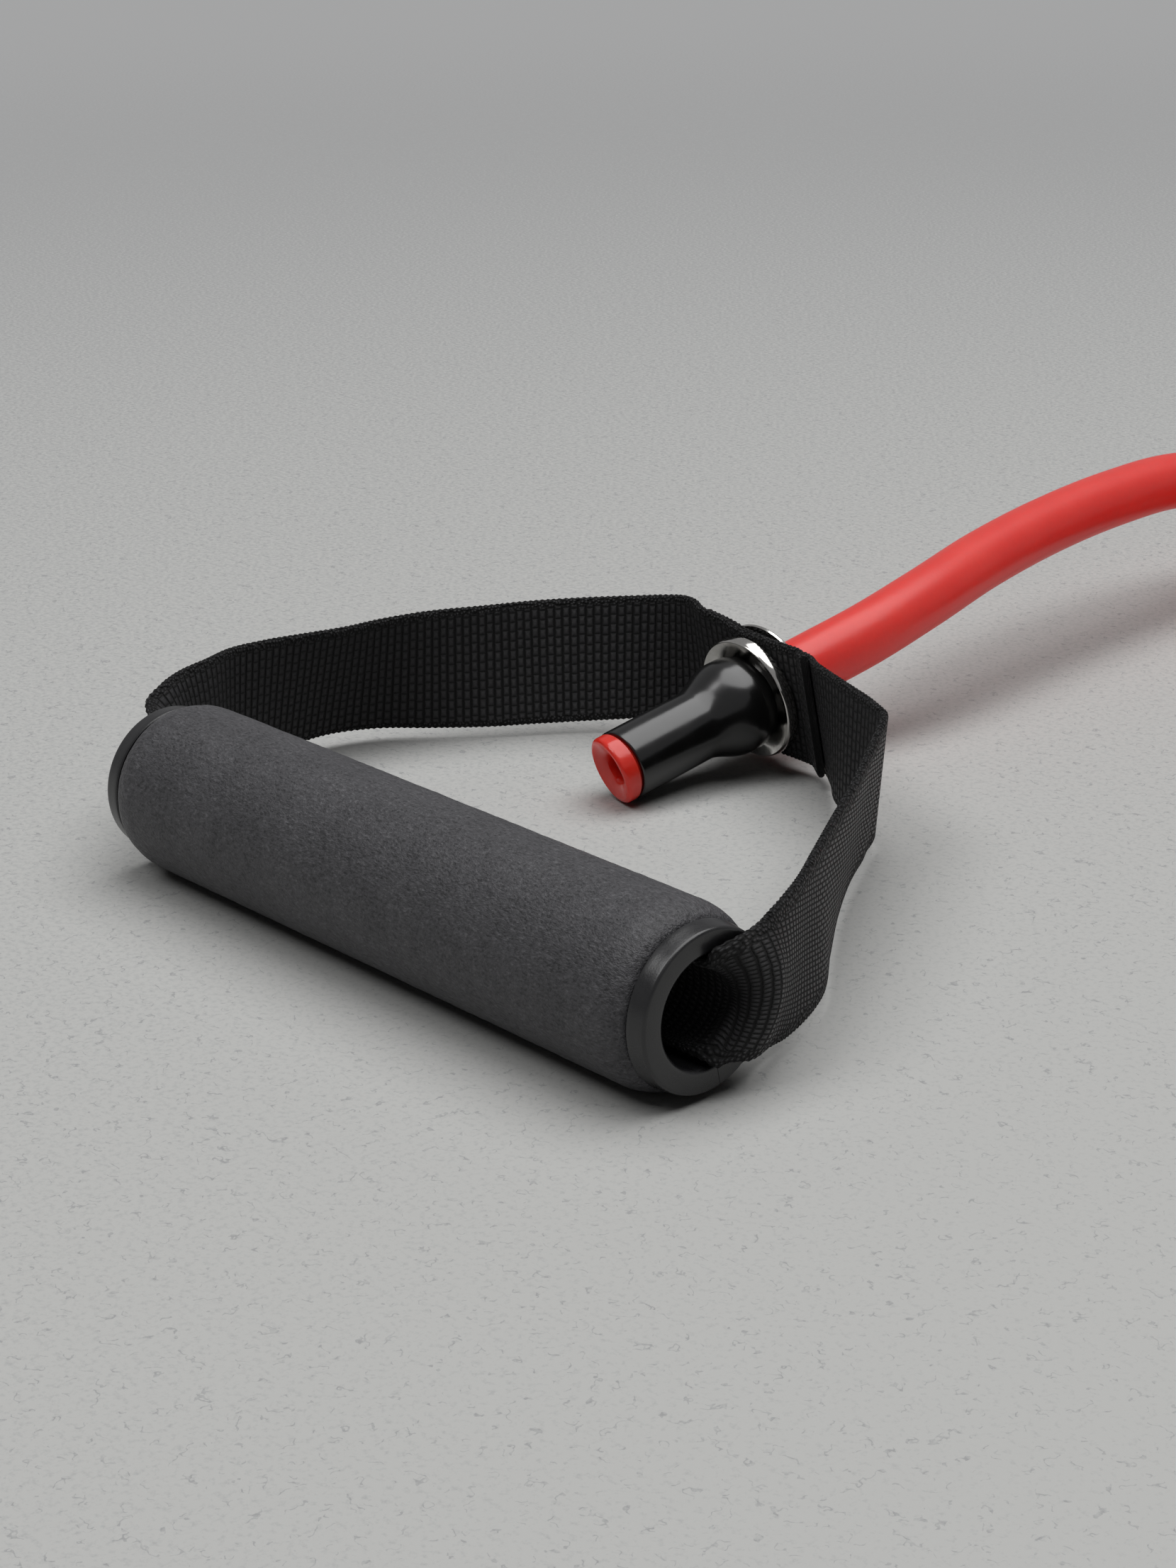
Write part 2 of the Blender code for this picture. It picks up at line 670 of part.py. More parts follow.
def tube_curve(name, points, sides_step, material):
    """The rubber tube along its points, as a bevelled curve with flat ends."""
    curve = bpy.data.curves.new(name, "CURVE")
    curve.dimensions = "3D"
    curve.bevel_depth = TUBE_RADIUS
    curve.bevel_resolution = sides_step
    curve.use_fill_caps = True
    line = curve.splines.new("POLY")
    line.points.add(len(points) - 1)
    for target, spot in zip(line.points, points):
        target.co = (*spot, 1.0)
    return place(name, curve, None, None, material)


def coil_radius(turn):
    """Distance from the middle of the coil: in over the first turn, out from there on."""
    return COIL_RADIUS - COIL_PITCH * min(turn, 2 - turn)


def coil_height(turn):
    """Upper layer first, then a drop of one layer where the spiral turns back."""
    dropped = ease((turn - 1) / COIL_DROP_TURNS + 0.5)
    lift = 0.0
    for tied in (TIE_TURN, TIE_TURN + 1):
        away = min(abs(turn - tied) / TIE_LIFT_TURNS, 1.0)
        lift += TIE_LIFT * (1 + cos(pi * away)) / 2
    return COIL_LOW + COIL_PITCH * (1 - dropped) + lift


def coil_points():
    """The coil's turns, clockwise from its leftmost place, with both ends run out straight."""
    def spot(turn):
        angle = pi - 2 * pi * turn
        reach = coil_radius(turn)
        return Vector((COIL_X + reach * cos(angle), COIL_Y + reach * sin(angle), coil_height(turn)))

    steps = int(round(COIL_TURNS * COIL_POINTS_PER_TURN))
    turns = [spot(i / COIL_POINTS_PER_TURN) for i in range(steps + 1)]
    leave = 2 * pi * COIL_TURNS
    entry = turns[0] - Vector((0.0, TUBE_DIAMETER, 0.0))
    way_out = Vector((sin(leave), cos(leave), 0.0))
    return [entry] + turns + [turns[-1] + way_out * TUBE_DIAMETER]


def least_self_gap(points):
    """The least air between two turns: distances between points and the lines of other turns."""
    least = 1.0
    apart = COIL_POINTS_PER_TURN // 2
    for i, spot in enumerate(points):
        for j in range(i + apart, len(points) - 1):
            start, end = points[j], points[j + 1]
            along = end - start
            share = min(max((spot - start).dot(along) / along.length_squared, 0.0), 1.0)
            least = min(least, (spot - start - along * share).length)
    return least - TUBE_DIAMETER


def tie_mesh():
    """A fabric tie round both layers of the coil, its end lapped over its start."""
    outward = TUBE_RADIUS + TIE_CLEARANCE + TIE_THICKNESS / 2
    bow = TIE_WIDTH / 2 * tan(pi / COIL_POINTS_PER_TURN)
    centre_x = COIL_X + coil_radius(TIE_TURN) - bow / 2
    low = coil_height(TIE_TURN + 1)
    high = coil_height(TIE_TURN)
    start = -TIE_OVERLAP / 2
    steps = 30
    bm = bmesh.new()
    rows = []
    for i in range(steps + 1):
        turned_by = (2 * pi + TIE_OVERLAP) * i / steps
        angle = start + turned_by
        lapped = ease((turned_by - 2 * pi + TIE_OVERLAP) / TIE_OVERLAP)
        reach = outward + (TIE_THICKNESS + FIT) * lapped
        middle = high if sin(angle) > 0 else low
        way = Vector((cos(angle), 0.0, sin(angle)))
        spot = Vector((centre_x, COIL_Y, middle)) + way * reach
        row = []
        for depth, y in ((-1, -1), (1, -1), (1, 1), (-1, 1)):
            offset = way * depth * TIE_THICKNESS / 2 + Vector((0.0, y * TIE_WIDTH / 2, 0.0))
            row.append(bm.verts.new(spot + offset))
        rows.append(row)
    for row, following in zip(rows, rows[1:]):
        for j in range(4):
            k = (j + 1) % 4
            bm.faces.new((row[j], row[k], following[k], following[j]))
    bm.faces.new(rows[0])
    bm.faces.new(rows[-1])
    return mesh_from(bm, "coil_tie")


def handle_b_placement():
    return Matrix.Translation((HANDLE_B_X, HANDLE_B_Y, 0.0)) @ Matrix.Rotation(HANDLE_B_TURN, 4, "Z")


def straight_reach():
    """How far the tube runs straight out of an eyelet, which its handle may slide along."""
    return 2.2 * TUBE_DIAMETER


def run_a_route(coil_start):
    """From handle a's eyelet, in a low arch and down onto the coil's upper layer."""
    start = EYELET_POINT + TUBE_LINE * FIT / 2
    chosen = [
        (-0.0325, 0.1580, 0.0234),
        (-0.0377, 0.1830, 0.0261),
        (-0.0420, 0.2090, 0.0279),
        (-0.0447, 0.2340, 0.0288),
        (-0.0461, 0.2560, 0.0285),
        (-0.0463, 0.2750, 0.0258),
    ]
    meet = coil_start - Vector((0.0, FIT, 0.0))
    straight = meet - Vector((0.0, TUBE_DIAMETER, 0.0))
    return [start, start + TUBE_LINE * straight_reach()] + [Vector(p) for p in chosen] + [straight, meet]


def run_b_route(coil_end):
    """From the coil's lower layer along the floor, and up into handle b's eyelet."""
    heading = (coil_end[1] - coil_end[0]).normalized()
    meet = coil_end[1] + heading * FIT
    chosen = [
        (0.0015, 0.3985, 0.0093),
        (0.0088, 0.4135, 0.0140),
        (0.0136, 0.4300, 0.0190),
        (0.0164, 0.4460, 0.0214),
    ]
    placement = handle_b_placement()
    turned_line = placement.to_3x3() @ TUBE_LINE
    end = placement @ EYELET_POINT + turned_line * FIT / 2
    return [meet, meet + heading * TUBE_DIAMETER] + [Vector(p) for p in chosen] + [
        end + turned_line * straight_reach(),
        end,
    ]


def build_tube(finishes):
    """The tube's two free runs, its coil and the tie that holds it."""
    coil = coil_points()
    print(f"least gap between the coil's turns: {1000 * least_self_gap(coil):.2f} mm")
    tube_curve("tube_coil", coil, 1, finishes["tube"])
    step = 2 * TUBE_DIAMETER
    length = 2 * STUB_LENGTH
    route_a = run_a_route(coil[0])
    line_a = [route_a[0]] + smooth_line(route_a[1:-1], step) + [route_a[-1]]
    route_b = run_b_route((coil[-2], coil[-1]))
    line_b = [route_b[0]] + smooth_line(route_b[1:-1], step) + [route_b[-1]]
    tube_curve("tube_run_a", line_a, 4, finishes["tube"])
    tube_curve("tube_run_b", line_b, 4, finishes["tube"])
    for line in (line_a, coil, line_b):
        length += sum((b - a).length for a, b in zip(line, line[1:]))
    print(f"length of the tube: {length:.3f} m")
    place("coil_tie", tie_mesh(), None, None, finishes["tie"])


def build():
    clear_scene()
    finishes = {
        "foam": finish("foam", (0.035, 0.034, 0.037), 0.9),
        "core": finish("core", (0.45, 0.45, 0.44), 0.5),
        "cap": finish("cap", (0.02, 0.02, 0.022), 0.4),
        "webbing": finish("webbing", (0.016, 0.016, 0.018), 0.8),
        "metal": finish("metal", (0.75, 0.74, 0.72), 0.15, 1.0),
        "tube": finish("tube", (0.62, 0.03, 0.03), 0.4),
        "sleeve": finish("sleeve", (0.012, 0.012, 0.013), 0.25),
        "ball": finish("ball", (0.05, 0.05, 0.055), 0.4),
        "tie": finish("tie", (0.02, 0.02, 0.022), 0.85),
    }
    build_handle("a", Matrix.Identity(4), finishes)
    build_handle("b", handle_b_placement(), finishes)
    build_tube(finishes)


build()
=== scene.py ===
# A resistance tube with two foam handles, laid down as for storage: handle a in front, its
# loop towards +Y, the spare tube wound and tied behind it, and handle b past the coil.
# Metres, +Z up. The origin is on the floor, under the middle of handle a's grip.
from math import ceil, cos, hypot, pi, radians, sin, sqrt, tan

import bmesh
import bpy
from mathutils import Matrix, Vector, noise


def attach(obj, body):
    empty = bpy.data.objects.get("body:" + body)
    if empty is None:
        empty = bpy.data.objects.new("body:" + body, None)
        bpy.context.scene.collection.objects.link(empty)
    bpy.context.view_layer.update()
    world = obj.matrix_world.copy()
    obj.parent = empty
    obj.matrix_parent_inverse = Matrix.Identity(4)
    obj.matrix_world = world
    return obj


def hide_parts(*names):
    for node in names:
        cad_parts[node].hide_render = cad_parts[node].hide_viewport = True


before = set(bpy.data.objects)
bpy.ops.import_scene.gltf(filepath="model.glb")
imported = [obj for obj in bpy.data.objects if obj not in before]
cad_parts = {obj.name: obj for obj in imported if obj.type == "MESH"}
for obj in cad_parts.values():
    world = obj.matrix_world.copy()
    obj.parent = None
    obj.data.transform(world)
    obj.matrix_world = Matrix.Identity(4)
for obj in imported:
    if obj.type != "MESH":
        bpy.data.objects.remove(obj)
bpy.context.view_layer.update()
scene = bpy.context.scene

# ---- Camera
# It stands a little above and to the right of handle a and looks along the grip towards the
# eyelet, as the photograph does. The focal length is given in the photograph's pixels.
PICTURE_HEIGHT = 2212
FOCAL_PIXELS = 4300
LONG_SIDE_MM = 36.0
CAMERA_PLACE = (0.3575, -0.2864, 0.1980)
CAMERA_TILT = radians(70.0)
CAMERA_TURN = radians(47.75)
camera_data = bpy.data.cameras.new("camera")
camera_data.sensor_width = LONG_SIDE_MM
camera_data.lens = LONG_SIDE_MM * FOCAL_PIXELS / PICTURE_HEIGHT
camera_data.clip_start = 0.01
camera = bpy.data.objects.new("camera", camera_data)
scene.collection.objects.link(camera)
camera.location = CAMERA_PLACE
camera.rotation_euler = (CAMERA_TILT, 0.0, CAMERA_TURN)
scene.camera = camera

# ---- Free rubber tube
# One extruded rubber tube of 12.4 mm, from the eyelet of handle a to that of handle b. It
# leaves the eyelet straight, sinks in a low arch onto the coil, is wound in two layers that
# spiral in and out again, and runs on along the floor into handle b.
TUBE_RADIUS = 0.0062
FIT = 0.0003
GRIP_HEIGHT = 0.0146
EYELET_PLACE = Vector((-0.0319, 0.1121, GRIP_HEIGHT))
TUBE_TURN = radians(3.0)
TUBE_RISE = radians(12.0)
TUBE_WAY = Vector((sin(TUBE_TURN) * cos(TUBE_RISE), cos(TUBE_TURN) * cos(TUBE_RISE), sin(TUBE_RISE)))
HANDLE_B = Matrix.Translation((-0.0126, 0.6006, 0.0)) @ Matrix.Rotation(pi, 4, "Z")
TUBE_WAY_B = HANDLE_B.to_3x3() @ TUBE_WAY
STRAIGHT_REACH = 4.4 * TUBE_RADIUS
COIL_MIDDLE = Vector((0.0220, 0.3200, 0.0))
COIL_RADIUS = 0.0680
COIL_PITCH = 0.0131
COIL_TURNS = 2.125
COIL_STEPS_PER_TURN = 48
TIE_TURN = 0.5
TIE_LIFT = 0.0026
TIE_LIFT_TURNS = 0.15
DROP_TURNS = 0.5
TUBE_STEP = 0.0028
ARCH_ONTO_COIL = [
    Vector((-0.0325, 0.1580, 0.0234)),
    Vector((-0.0377, 0.1830, 0.0261)),
    Vector((-0.0420, 0.2090, 0.0279)),
    Vector((-0.0447, 0.2340, 0.0288)),
    Vector((-0.0461, 0.2560, 0.0285)),
    Vector((-0.0463, 0.2750, 0.0258)),
]
RISE_TO_HANDLE_B = [
    Vector((0.0015, 0.3985, 0.0093)),
    Vector((0.0088, 0.4135, 0.0140)),
    Vector((0.0136, 0.4300, 0.0190)),
    Vector((0.0164, 0.4460, 0.0214)),
]


def ease(share):
    """Goes from 0 to 1 with a soft start and a soft end."""
    share = min(max(share, 0.0), 1.0)
    return share * share * (3 - 2 * share)


def coil_radius(turn):
    """The coil winds inwards for one turn and outwards again from there."""
    return COIL_RADIUS - COIL_PITCH * min(turn, 2 - turn)


def coil_height(turn):
    """The upper layer comes first, and both layers stand up a little in the tie."""
    dropped = ease((turn - 1) / DROP_TURNS + 0.5)
    lift = 0.0
    for tied in (TIE_TURN, TIE_TURN + 1):
        away = min(abs(turn - tied) / TIE_LIFT_TURNS, 1.0)
        lift += TIE_LIFT * (1 + cos(pi * away)) / 2
    return TUBE_RADIUS + COIL_PITCH * (1 - dropped) + lift


def coil_place(turn):
    """A point of the tube's middle, so many turns from the coil's start."""
    angle = pi - 2 * pi * turn
    radius = coil_radius(turn)
    return COIL_MIDDLE + Vector((radius * cos(angle), radius * sin(angle), coil_height(turn)))


def smooth_run(places, spacing):
    """Even points on one smooth curve through these places."""
    spans = [(b - a).length for a, b in zip(places, places[1:])]
    ways = [(places[1] - places[0]) / spans[0]]
    for i in range(1, len(places) - 1):
        before = (places[i] - places[i - 1]) / spans[i - 1]
        after = (places[i + 1] - places[i]) / spans[i]
        ways.append((before * spans[i] + after * spans[i - 1]) / (spans[i - 1] + spans[i]))
    ways.append((places[-1] - places[-2]) / spans[-1])
    fine = []
    for i, span in enumerate(spans):
        steps = max(ceil(span / spacing), 1) * 4
        for k in range(steps):
            t = k / steps
            fine.append(
                places[i] * (1 + 2 * t) * (1 - t) ** 2
                + ways[i] * span * t * (1 - t) ** 2
                + places[i + 1] * t**2 * (3 - 2 * t)
                - ways[i + 1] * span * t**2 * (1 - t)
            )
    fine.append(places[-1])
    run = [0.0]
    for a, b in zip(fine, fine[1:]):
        run.append(run[-1] + (b - a).length)
    count = round(run[-1] / spacing)
    even, j = [], 0
    for i in range(count + 1):
        goal = run[-1] * i / count
        while j < len(run) - 2 and run[j + 1] < goal:
            j += 1
        even.append(fine[j].lerp(fine[j + 1], (goal - run[j]) / (run[j + 1] - run[j])))
    return even


way_out = Vector((sin(2 * pi * COIL_TURNS), cos(2 * pi * COIL_TURNS), 0.0))
coil_start, coil_end = coil_place(0.0), coil_place(COIL_TURNS)
steps = round(COIL_TURNS * COIL_STEPS_PER_TURN)
tube_start = EYELET_PLACE + TUBE_WAY * FIT / 2
tube_finish = HANDLE_B @ EYELET_PLACE + TUBE_WAY_B * FIT / 2
route = [tube_start, tube_start + TUBE_WAY * STRAIGHT_REACH / 2, tube_start + TUBE_WAY * STRAIGHT_REACH]
route += ARCH_ONTO_COIL
route += [coil_start - Vector((0.0, 4 * TUBE_RADIUS, 0.0)), coil_start - Vector((0.0, 2 * TUBE_RADIUS, 0.0))]
route += [coil_place(i / COIL_STEPS_PER_TURN) for i in range(steps + 1)]
route += [coil_end + way_out * 2 * TUBE_RADIUS, coil_end + way_out * 4 * TUBE_RADIUS]
route += RISE_TO_HANDLE_B
route += [tube_finish + TUBE_WAY_B * STRAIGHT_REACH, tube_finish + TUBE_WAY_B * STRAIGHT_REACH / 2, tube_finish]
tube_line = smooth_run(route, TUBE_STEP)


def add(tree, kind, settings=None, **sockets):
    """Adds a node. Each named socket gets a value or another node's output."""
    made = tree.nodes.new("ShaderNode" + kind)
    for key, value in (settings or {}).items():
        setattr(made, key, value)
    for name, value in sockets.items():
        socket = made.inputs[name.replace("_", " ")]
        if isinstance(value, bpy.types.NodeSocket):
            tree.links.new(value, socket)
        else:
            socket.default_value = value
    return made


def calc(tree, operation, *values):
    """One step of arithmetic on the pattern's numbers."""
    made = tree.nodes.new("ShaderNodeMath")
    made.operation = operation
    for socket, value in zip(made.inputs, values):
        if isinstance(value, bpy.types.NodeSocket):
            tree.links.new(value, socket)
        else:
            socket.default_value = value
    return made.outputs[0]


def tones(tree, share, *stops):
    """Turns a share into a colour: each stop is a position and a linear colour or grey."""
    ramp = tree.nodes.new("ShaderNodeValToRGB")
    tree.links.new(share, ramp.inputs[0])
    band = ramp.color_ramp.elements
    while len(band) < len(stops):
        band.new(0.5)
    for element, (position, colour) in zip(band, stops):
        element.position = position
        shades = colour if isinstance(colour, tuple) else (colour,) * 3
        element.color = (*shades, 1.0)
    return ramp.outputs[0]


def grain(tree, where, scale, detail=2.0, roughness=0.5):
    """An irregular pattern around 0.5, its scale in cells for each metre or UV unit."""
    noise_node = add(tree, "TexNoise", Vector=where, Scale=scale, Detail=detail, Roughness=roughness)
    return noise_node.outputs["Fac"]


def new_finish(name, colour, roughness, metallic=0.0, specular=0.5):
    """A material with plain values, its node tree and its shader."""
    material = bpy.data.materials.new(name)
    material.use_nodes = True
    tree = material.node_tree
    shader = tree.nodes["Principled BSDF"]
    shader.inputs["Base Color"].default_value = (*colour, 1.0)
    shader.inputs["Roughness"].default_value = roughness
    shader.inputs["Metallic"].default_value = metallic
    shader.inputs["Specular IOR Level"].default_value = specular
    return material, tree, shader


def raise_skin(tree, shader, height, depth, strength=1.0):
    """Bump from a height of 0 to 1, that many metres deep."""
    bump = add(tree, "Bump", Height=height, Distance=depth, Strength=strength)
    tree.links.new(bump.outputs["Normal"], shader.inputs["Normal"])


# Red rubber: satin, with a faint bloom and the fine draw lines of the extruder.
tube_rubber, tree, shader = new_finish("tube_rubber", (0.74, 0.030, 0.026), 0.40)
where = add(tree, "TexCoord").outputs["Object"]
bloom = grain(tree, where, 60.0, 3.0)
dust = grain(tree, where, 900.0, 3.0, 0.6)
mixed = calc(tree, "ADD", calc(tree, "MULTIPLY", bloom, 0.7), calc(tree, "MULTIPLY", dust, 0.3))
tree.links.new(
    tones(tree, mixed, (0.3, (0.74, 0.036, 0.027)), (0.7, (0.82, 0.054, 0.038))), shader.inputs["Base Color"]
)
tree.links.new(tones(tree, mixed, (0.3, 0.32), (0.7, 0.40)), shader.inputs["Roughness"])
shader.inputs["Subsurface Weight"].default_value = 1.0
shader.inputs["Subsurface Radius"].default_value = (0.0180, 0.0009, 0.0006)
shader.inputs["Subsurface Scale"].default_value = 1.0
raise_skin(tree, shader, dust, 0.00004)

curve = bpy.data.curves.new("tube", "CURVE")
curve.dimensions = "3D"
curve.bevel_depth = TUBE_RADIUS
curve.bevel_resolution = 14
curve.use_fill_caps = True
line = curve.splines.new("POLY")
line.points.add(len(tube_line) - 1)
line.use_smooth = True
for target, place in zip(line.points, tube_line):
    target.co = (*place, 1.0)
curve.materials.append(tube_rubber)
tube = bpy.data.objects.new("tube", curve)
scene.collection.objects.link(tube)
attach(tube, "tube")
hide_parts("tube_run_a", "tube_coil", "tube_run_b")

# ---- Tube ends
# The last 38 mm of the tube, inside each loop: a rounded open end, the neck that the sleeve
# squeezes, and the swelling over the ball that keeps the tube in the eyelet.
ROUND_SIDES = 96
STUB_LENGTH = 0.0385
NECK_RADIUS = 0.00585
SLEEVE_WALL = 0.0007
LIP_RADIUS = NECK_RADIUS + FIT + SLEEVE_WALL - 0.00015
BORE_RADIUS = 0.0026
BORE_FLOOR = -0.0150
BULGE_RADIUS = 0.0079
BULGE_START = 0.0175
BULGE_FULL = 0.0085
BULGE_NOSE = 0.0031
SLEEVE_BULGE_WALL = 0.0009
NOSE_END = 0.00342
TUBE_NOSE = NOSE_END + SLEEVE_BULGE_WALL + FIT
LIP_LENGTH = 0.0026
LIP_ROUND = 0.0009
FUNNEL_RADIUS = 0.0058
CUT_SLANT = radians(13.0)
CUT_SIDE = Vector((0.839, -0.155, 0.521))


def axis_frame(point, direction, side):
    """A frame with Z along a direction and X as near as can be to side."""
    z = direction.normalized()
    y = z.cross(side).normalized()
    return Matrix.Translation(point) @ Matrix((y.cross(z), y, z)).transposed().to_4x4()


def turn_profile(profile, sides=ROUND_SIDES, closed=False):
    """Turns (radius, height) points about Z. An open profile ends on the axis."""
    bm = bmesh.new()
    ring = [bm.verts.new((radius, 0.0, height)) for radius, height in profile]
    following = ring[1:] + ring[:1] if closed else ring[1:]
    edges = [bm.edges.new(pair) for pair in zip(ring, following)]
    bmesh.ops.spin(
        bm, geom=ring + edges, cent=(0, 0, 0), axis=(0, 0, 1), angle=2 * pi, steps=sides, use_merge=True
    )
    bmesh.ops.remove_doubles(bm, verts=bm.verts, dist=1e-7)
    bmesh.ops.recalc_face_normals(bm, faces=bm.faces)
    return bm


def arc(middle_radius, middle_height, radius, start, end, steps=6):
    """Points on a round of a profile, from one angle to another in degrees."""
    angles = [radians(start + (end - start) * i / steps) for i in range(steps + 1)]
    return [(middle_radius + radius * cos(a), middle_height + radius * sin(a)) for a in angles]


def swelling(narrow, wide, steps=14):
    """The even growth from the neck to the full width over the ball."""
    points = []
    for i in range(steps + 1):
        share = i / steps
        points.append((narrow + (wide - narrow) * ease(share), (BULGE_START - BULGE_FULL) * share - BULGE_START))
    return points


def rounded_nose(wide, narrow, front, depth, steps=10):
    """The round that closes in from the full width towards the eyelet."""
    angles = [pi / 2 * i / steps for i in range(steps + 1)]
    return [(narrow + (wide - narrow) * cos(a), -front - depth * (1 - sin(a))) for a in angles]


def fit_on_handles(piece, bm, body, nodes, material, smooth=40.0):
    """Puts the piece on handle a and, half a turn round, on handle b."""
    made = []
    # Node and piece names end in the letter of their handle.
    for side, placement in (("a", Matrix.Identity(4)), ("b", HANDLE_B)):
        mesh = bpy.data.meshes.new(f"{piece}_{side}")
        bm.to_mesh(mesh)
        mesh.transform(placement)
        mesh.shade_smooth()
        mesh.set_sharp_from_angle(angle=radians(smooth))
        mesh.materials.append(material)
        thing = bpy.data.objects.new(f"{piece}_piece_{side}", mesh)
        scene.collection.objects.link(thing)
        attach(thing, body if body == "tube" else f"{body}_{side}")
        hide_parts(*[f"{node}_{side}" for node in nodes])
        made.append(thing)
    bm.free()
    return made


LINE_FRAME = axis_frame(EYELET_PLACE, TUBE_WAY, Vector((1.0, 0.0, 0.0)))
outside = arc(LIP_RADIUS - LIP_ROUND, -STUB_LENGTH + LIP_ROUND, LIP_ROUND, -90, 0)
outside += [(LIP_RADIUS, -STUB_LENGTH + LIP_LENGTH - 0.0004), (NECK_RADIUS, -STUB_LENGTH + LIP_LENGTH)]
outside += swelling(NECK_RADIUS, BULGE_RADIUS)
outside += rounded_nose(BULGE_RADIUS, TUBE_RADIUS, TUBE_NOSE, BULGE_NOSE)
outside += [(TUBE_RADIUS, -FIT / 2), (0.0, -FIT / 2)]
funnel = [
    (BORE_RADIUS, -STUB_LENGTH + 0.0026),
    (BORE_RADIUS + 0.0002, -STUB_LENGTH + 0.0017),
    (BORE_RADIUS + 0.0007, -STUB_LENGTH + 0.0011),
    (BORE_RADIUS + 0.0018, -STUB_LENGTH + 0.0006),
    (FUNNEL_RADIUS - 0.0002, -STUB_LENGTH + 0.00015),
]
inside = [(0.0, BORE_FLOOR), (BORE_RADIUS, BORE_FLOOR)] + funnel
tube_end = turn_profile(inside + outside)
tube_end.transform(LINE_FRAME)
# The cut leans: the lip is pushed along the tube, more on one side than on the other.
for vert in tube_end.verts:
    away = EYELET_PLACE - vert.co
    reach = away.dot(TUBE_WAY)
    share = ease((reach - STUB_LENGTH + LIP_LENGTH) / (LIP_LENGTH - LIP_ROUND))
    vert.co += TUBE_WAY * tan(CUT_SLANT) * share * CUT_SIDE.dot(away)
end_rubber, tree, shader = new_finish("end_rubber", (0.74, 0.030, 0.022), 0.26)
where = add(tree, "TexCoord").outputs["Object"]
cut_marks = grain(tree, where, 400.0, 2.0, 0.5)
tree.links.new(
    tones(tree, cut_marks, (0.3, (0.70, 0.030, 0.017)), (0.7, (0.76, 0.038, 0.022))), shader.inputs["Base Color"]
)
tree.links.new(tones(tree, cut_marks, (0.3, 0.17), (0.7, 0.24)), shader.inputs["Roughness"])
shader.inputs["Subsurface Weight"].default_value = 0.7
shader.inputs["Subsurface Radius"].default_value = (0.0050, 0.0005, 0.0004)
shader.inputs["Subsurface Scale"].default_value = 1.0
raise_skin(tree, shader, cut_marks, 0.00010)
fit_on_handles("tube_end", tube_end, "tube", ["tube_end"], end_rubber)

# ---- Stopper balls
# A hard plastic ball in the bore of each tube end. The rubber and the sleeve hide it, so the
# CAD solid stays and takes a moulded finish.
ball_plastic, tree, shader = new_finish("ball_plastic", (0.05, 0.05, 0.055), 0.4)
where = add(tree, "TexCoord").outputs["Object"]
tree.links.new(tones(tree, grain(tree, where, 500.0, 3.0), (0.3, 0.04), (0.7, 0.06)), shader.inputs["Base Color"])
for side in "ab":
    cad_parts["stopper_ball_" + side].data.materials.clear()
    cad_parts["stopper_ball_" + side].data.materials.append(ball_plastic)

# ---- Stopper sleeves
# A glossy rubber sleeve, rolled on over the tube's end and the ball, so that it takes their
# shape. Its nose sits in the eyelet's dish.
STACK_HALF = 0.00155
NOSE_SEAT = 0.00305
NOSE_SEAT_RADIUS = 0.0076
sleeve_inner = NECK_RADIUS + FIT
sleeve_outer = sleeve_inner + SLEEVE_WALL
wide_inner = BULGE_RADIUS + 2 * FIT
wide_outer = wide_inner + SLEEVE_BULGE_WALL
sleeve_start = -STUB_LENGTH + LIP_LENGTH + FIT / 2
throat = TUBE_RADIUS + 0.00005
collar = TUBE_RADIUS + 0.0004
edge_round = SLEEVE_WALL / 2
outside = arc(sleeve_outer - edge_round, sleeve_start + edge_round, edge_round, -90, 0, 5)
outside += swelling(sleeve_outer, wide_outer, 20)
outside += rounded_nose(wide_outer, NOSE_SEAT_RADIUS, NOSE_SEAT, BULGE_NOSE + SLEEVE_BULGE_WALL, 16)
outside += [(collar, -NOSE_SEAT + 0.0001), (collar, -STACK_HALF), (throat, -STACK_HALF)]
inside = [(sleeve_inner, sleeve_start)] + swelling(sleeve_inner, wide_inner, 8)
inside += rounded_nose(wide_inner, throat, TUBE_NOSE - FIT, BULGE_NOSE, 6)
sleeve = turn_profile(outside + inside[::-1], closed=True)
sleeve.transform(LINE_FRAME)
sleeve_rubber, tree, shader = new_finish("sleeve_rubber", (0.004, 0.004, 0.005), 0.22, specular=0.72)
where = add(tree, "TexCoord").outputs["Object"]
handling = grain(tree, where, 160.0, 3.0, 0.5)
tree.links.new(tones(tree, handling, (0.3, 0.18), (0.7, 0.25)), shader.inputs["Roughness"])
tree.links.new(tones(tree, handling, (0.3, 0.003), (0.75, 0.005)), shader.inputs["Base Color"])
raise_skin(tree, shader, handling, 0.00005)
fit_on_handles("stopper_sleeve", sleeve, "tube", ["stopper_sleeve"], sleeve_rubber)

# ---- Eyelets and their washers
# A two-part eyelet in bright nickel: its domed flange, dished towards the hole, lies inside
# the loop, its barrel goes through both layers of webbing, and the lip is rolled over a
# domed washer outside.
EYELET_INNER = TUBE_RADIUS + 0.0005
BARREL_RADIUS = EYELET_INNER + 0.0006
FLANGE_RADIUS = 0.01225
FLANGE_DOME = 0.0023
LIP_ROLL = 0.0007
WASHER_RADIUS = 0.0129
WASHER_DOME = 0.0024
WASHER_THICKNESS = 0.0012
RING_SIDES = 128
front = -(STACK_HALF + FIT)
washer_front = STACK_HALF + FIT
back = washer_front + WASHER_THICKNESS + FIT
crown = FLANGE_RADIUS - 0.0005
dish = [
    (EYELET_INNER + (crown - EYELET_INNER) * share, front - FLANGE_DOME * (0.12 + 0.88 * share**1.7))
    for share in [i / 12 for i in range(12)]
]
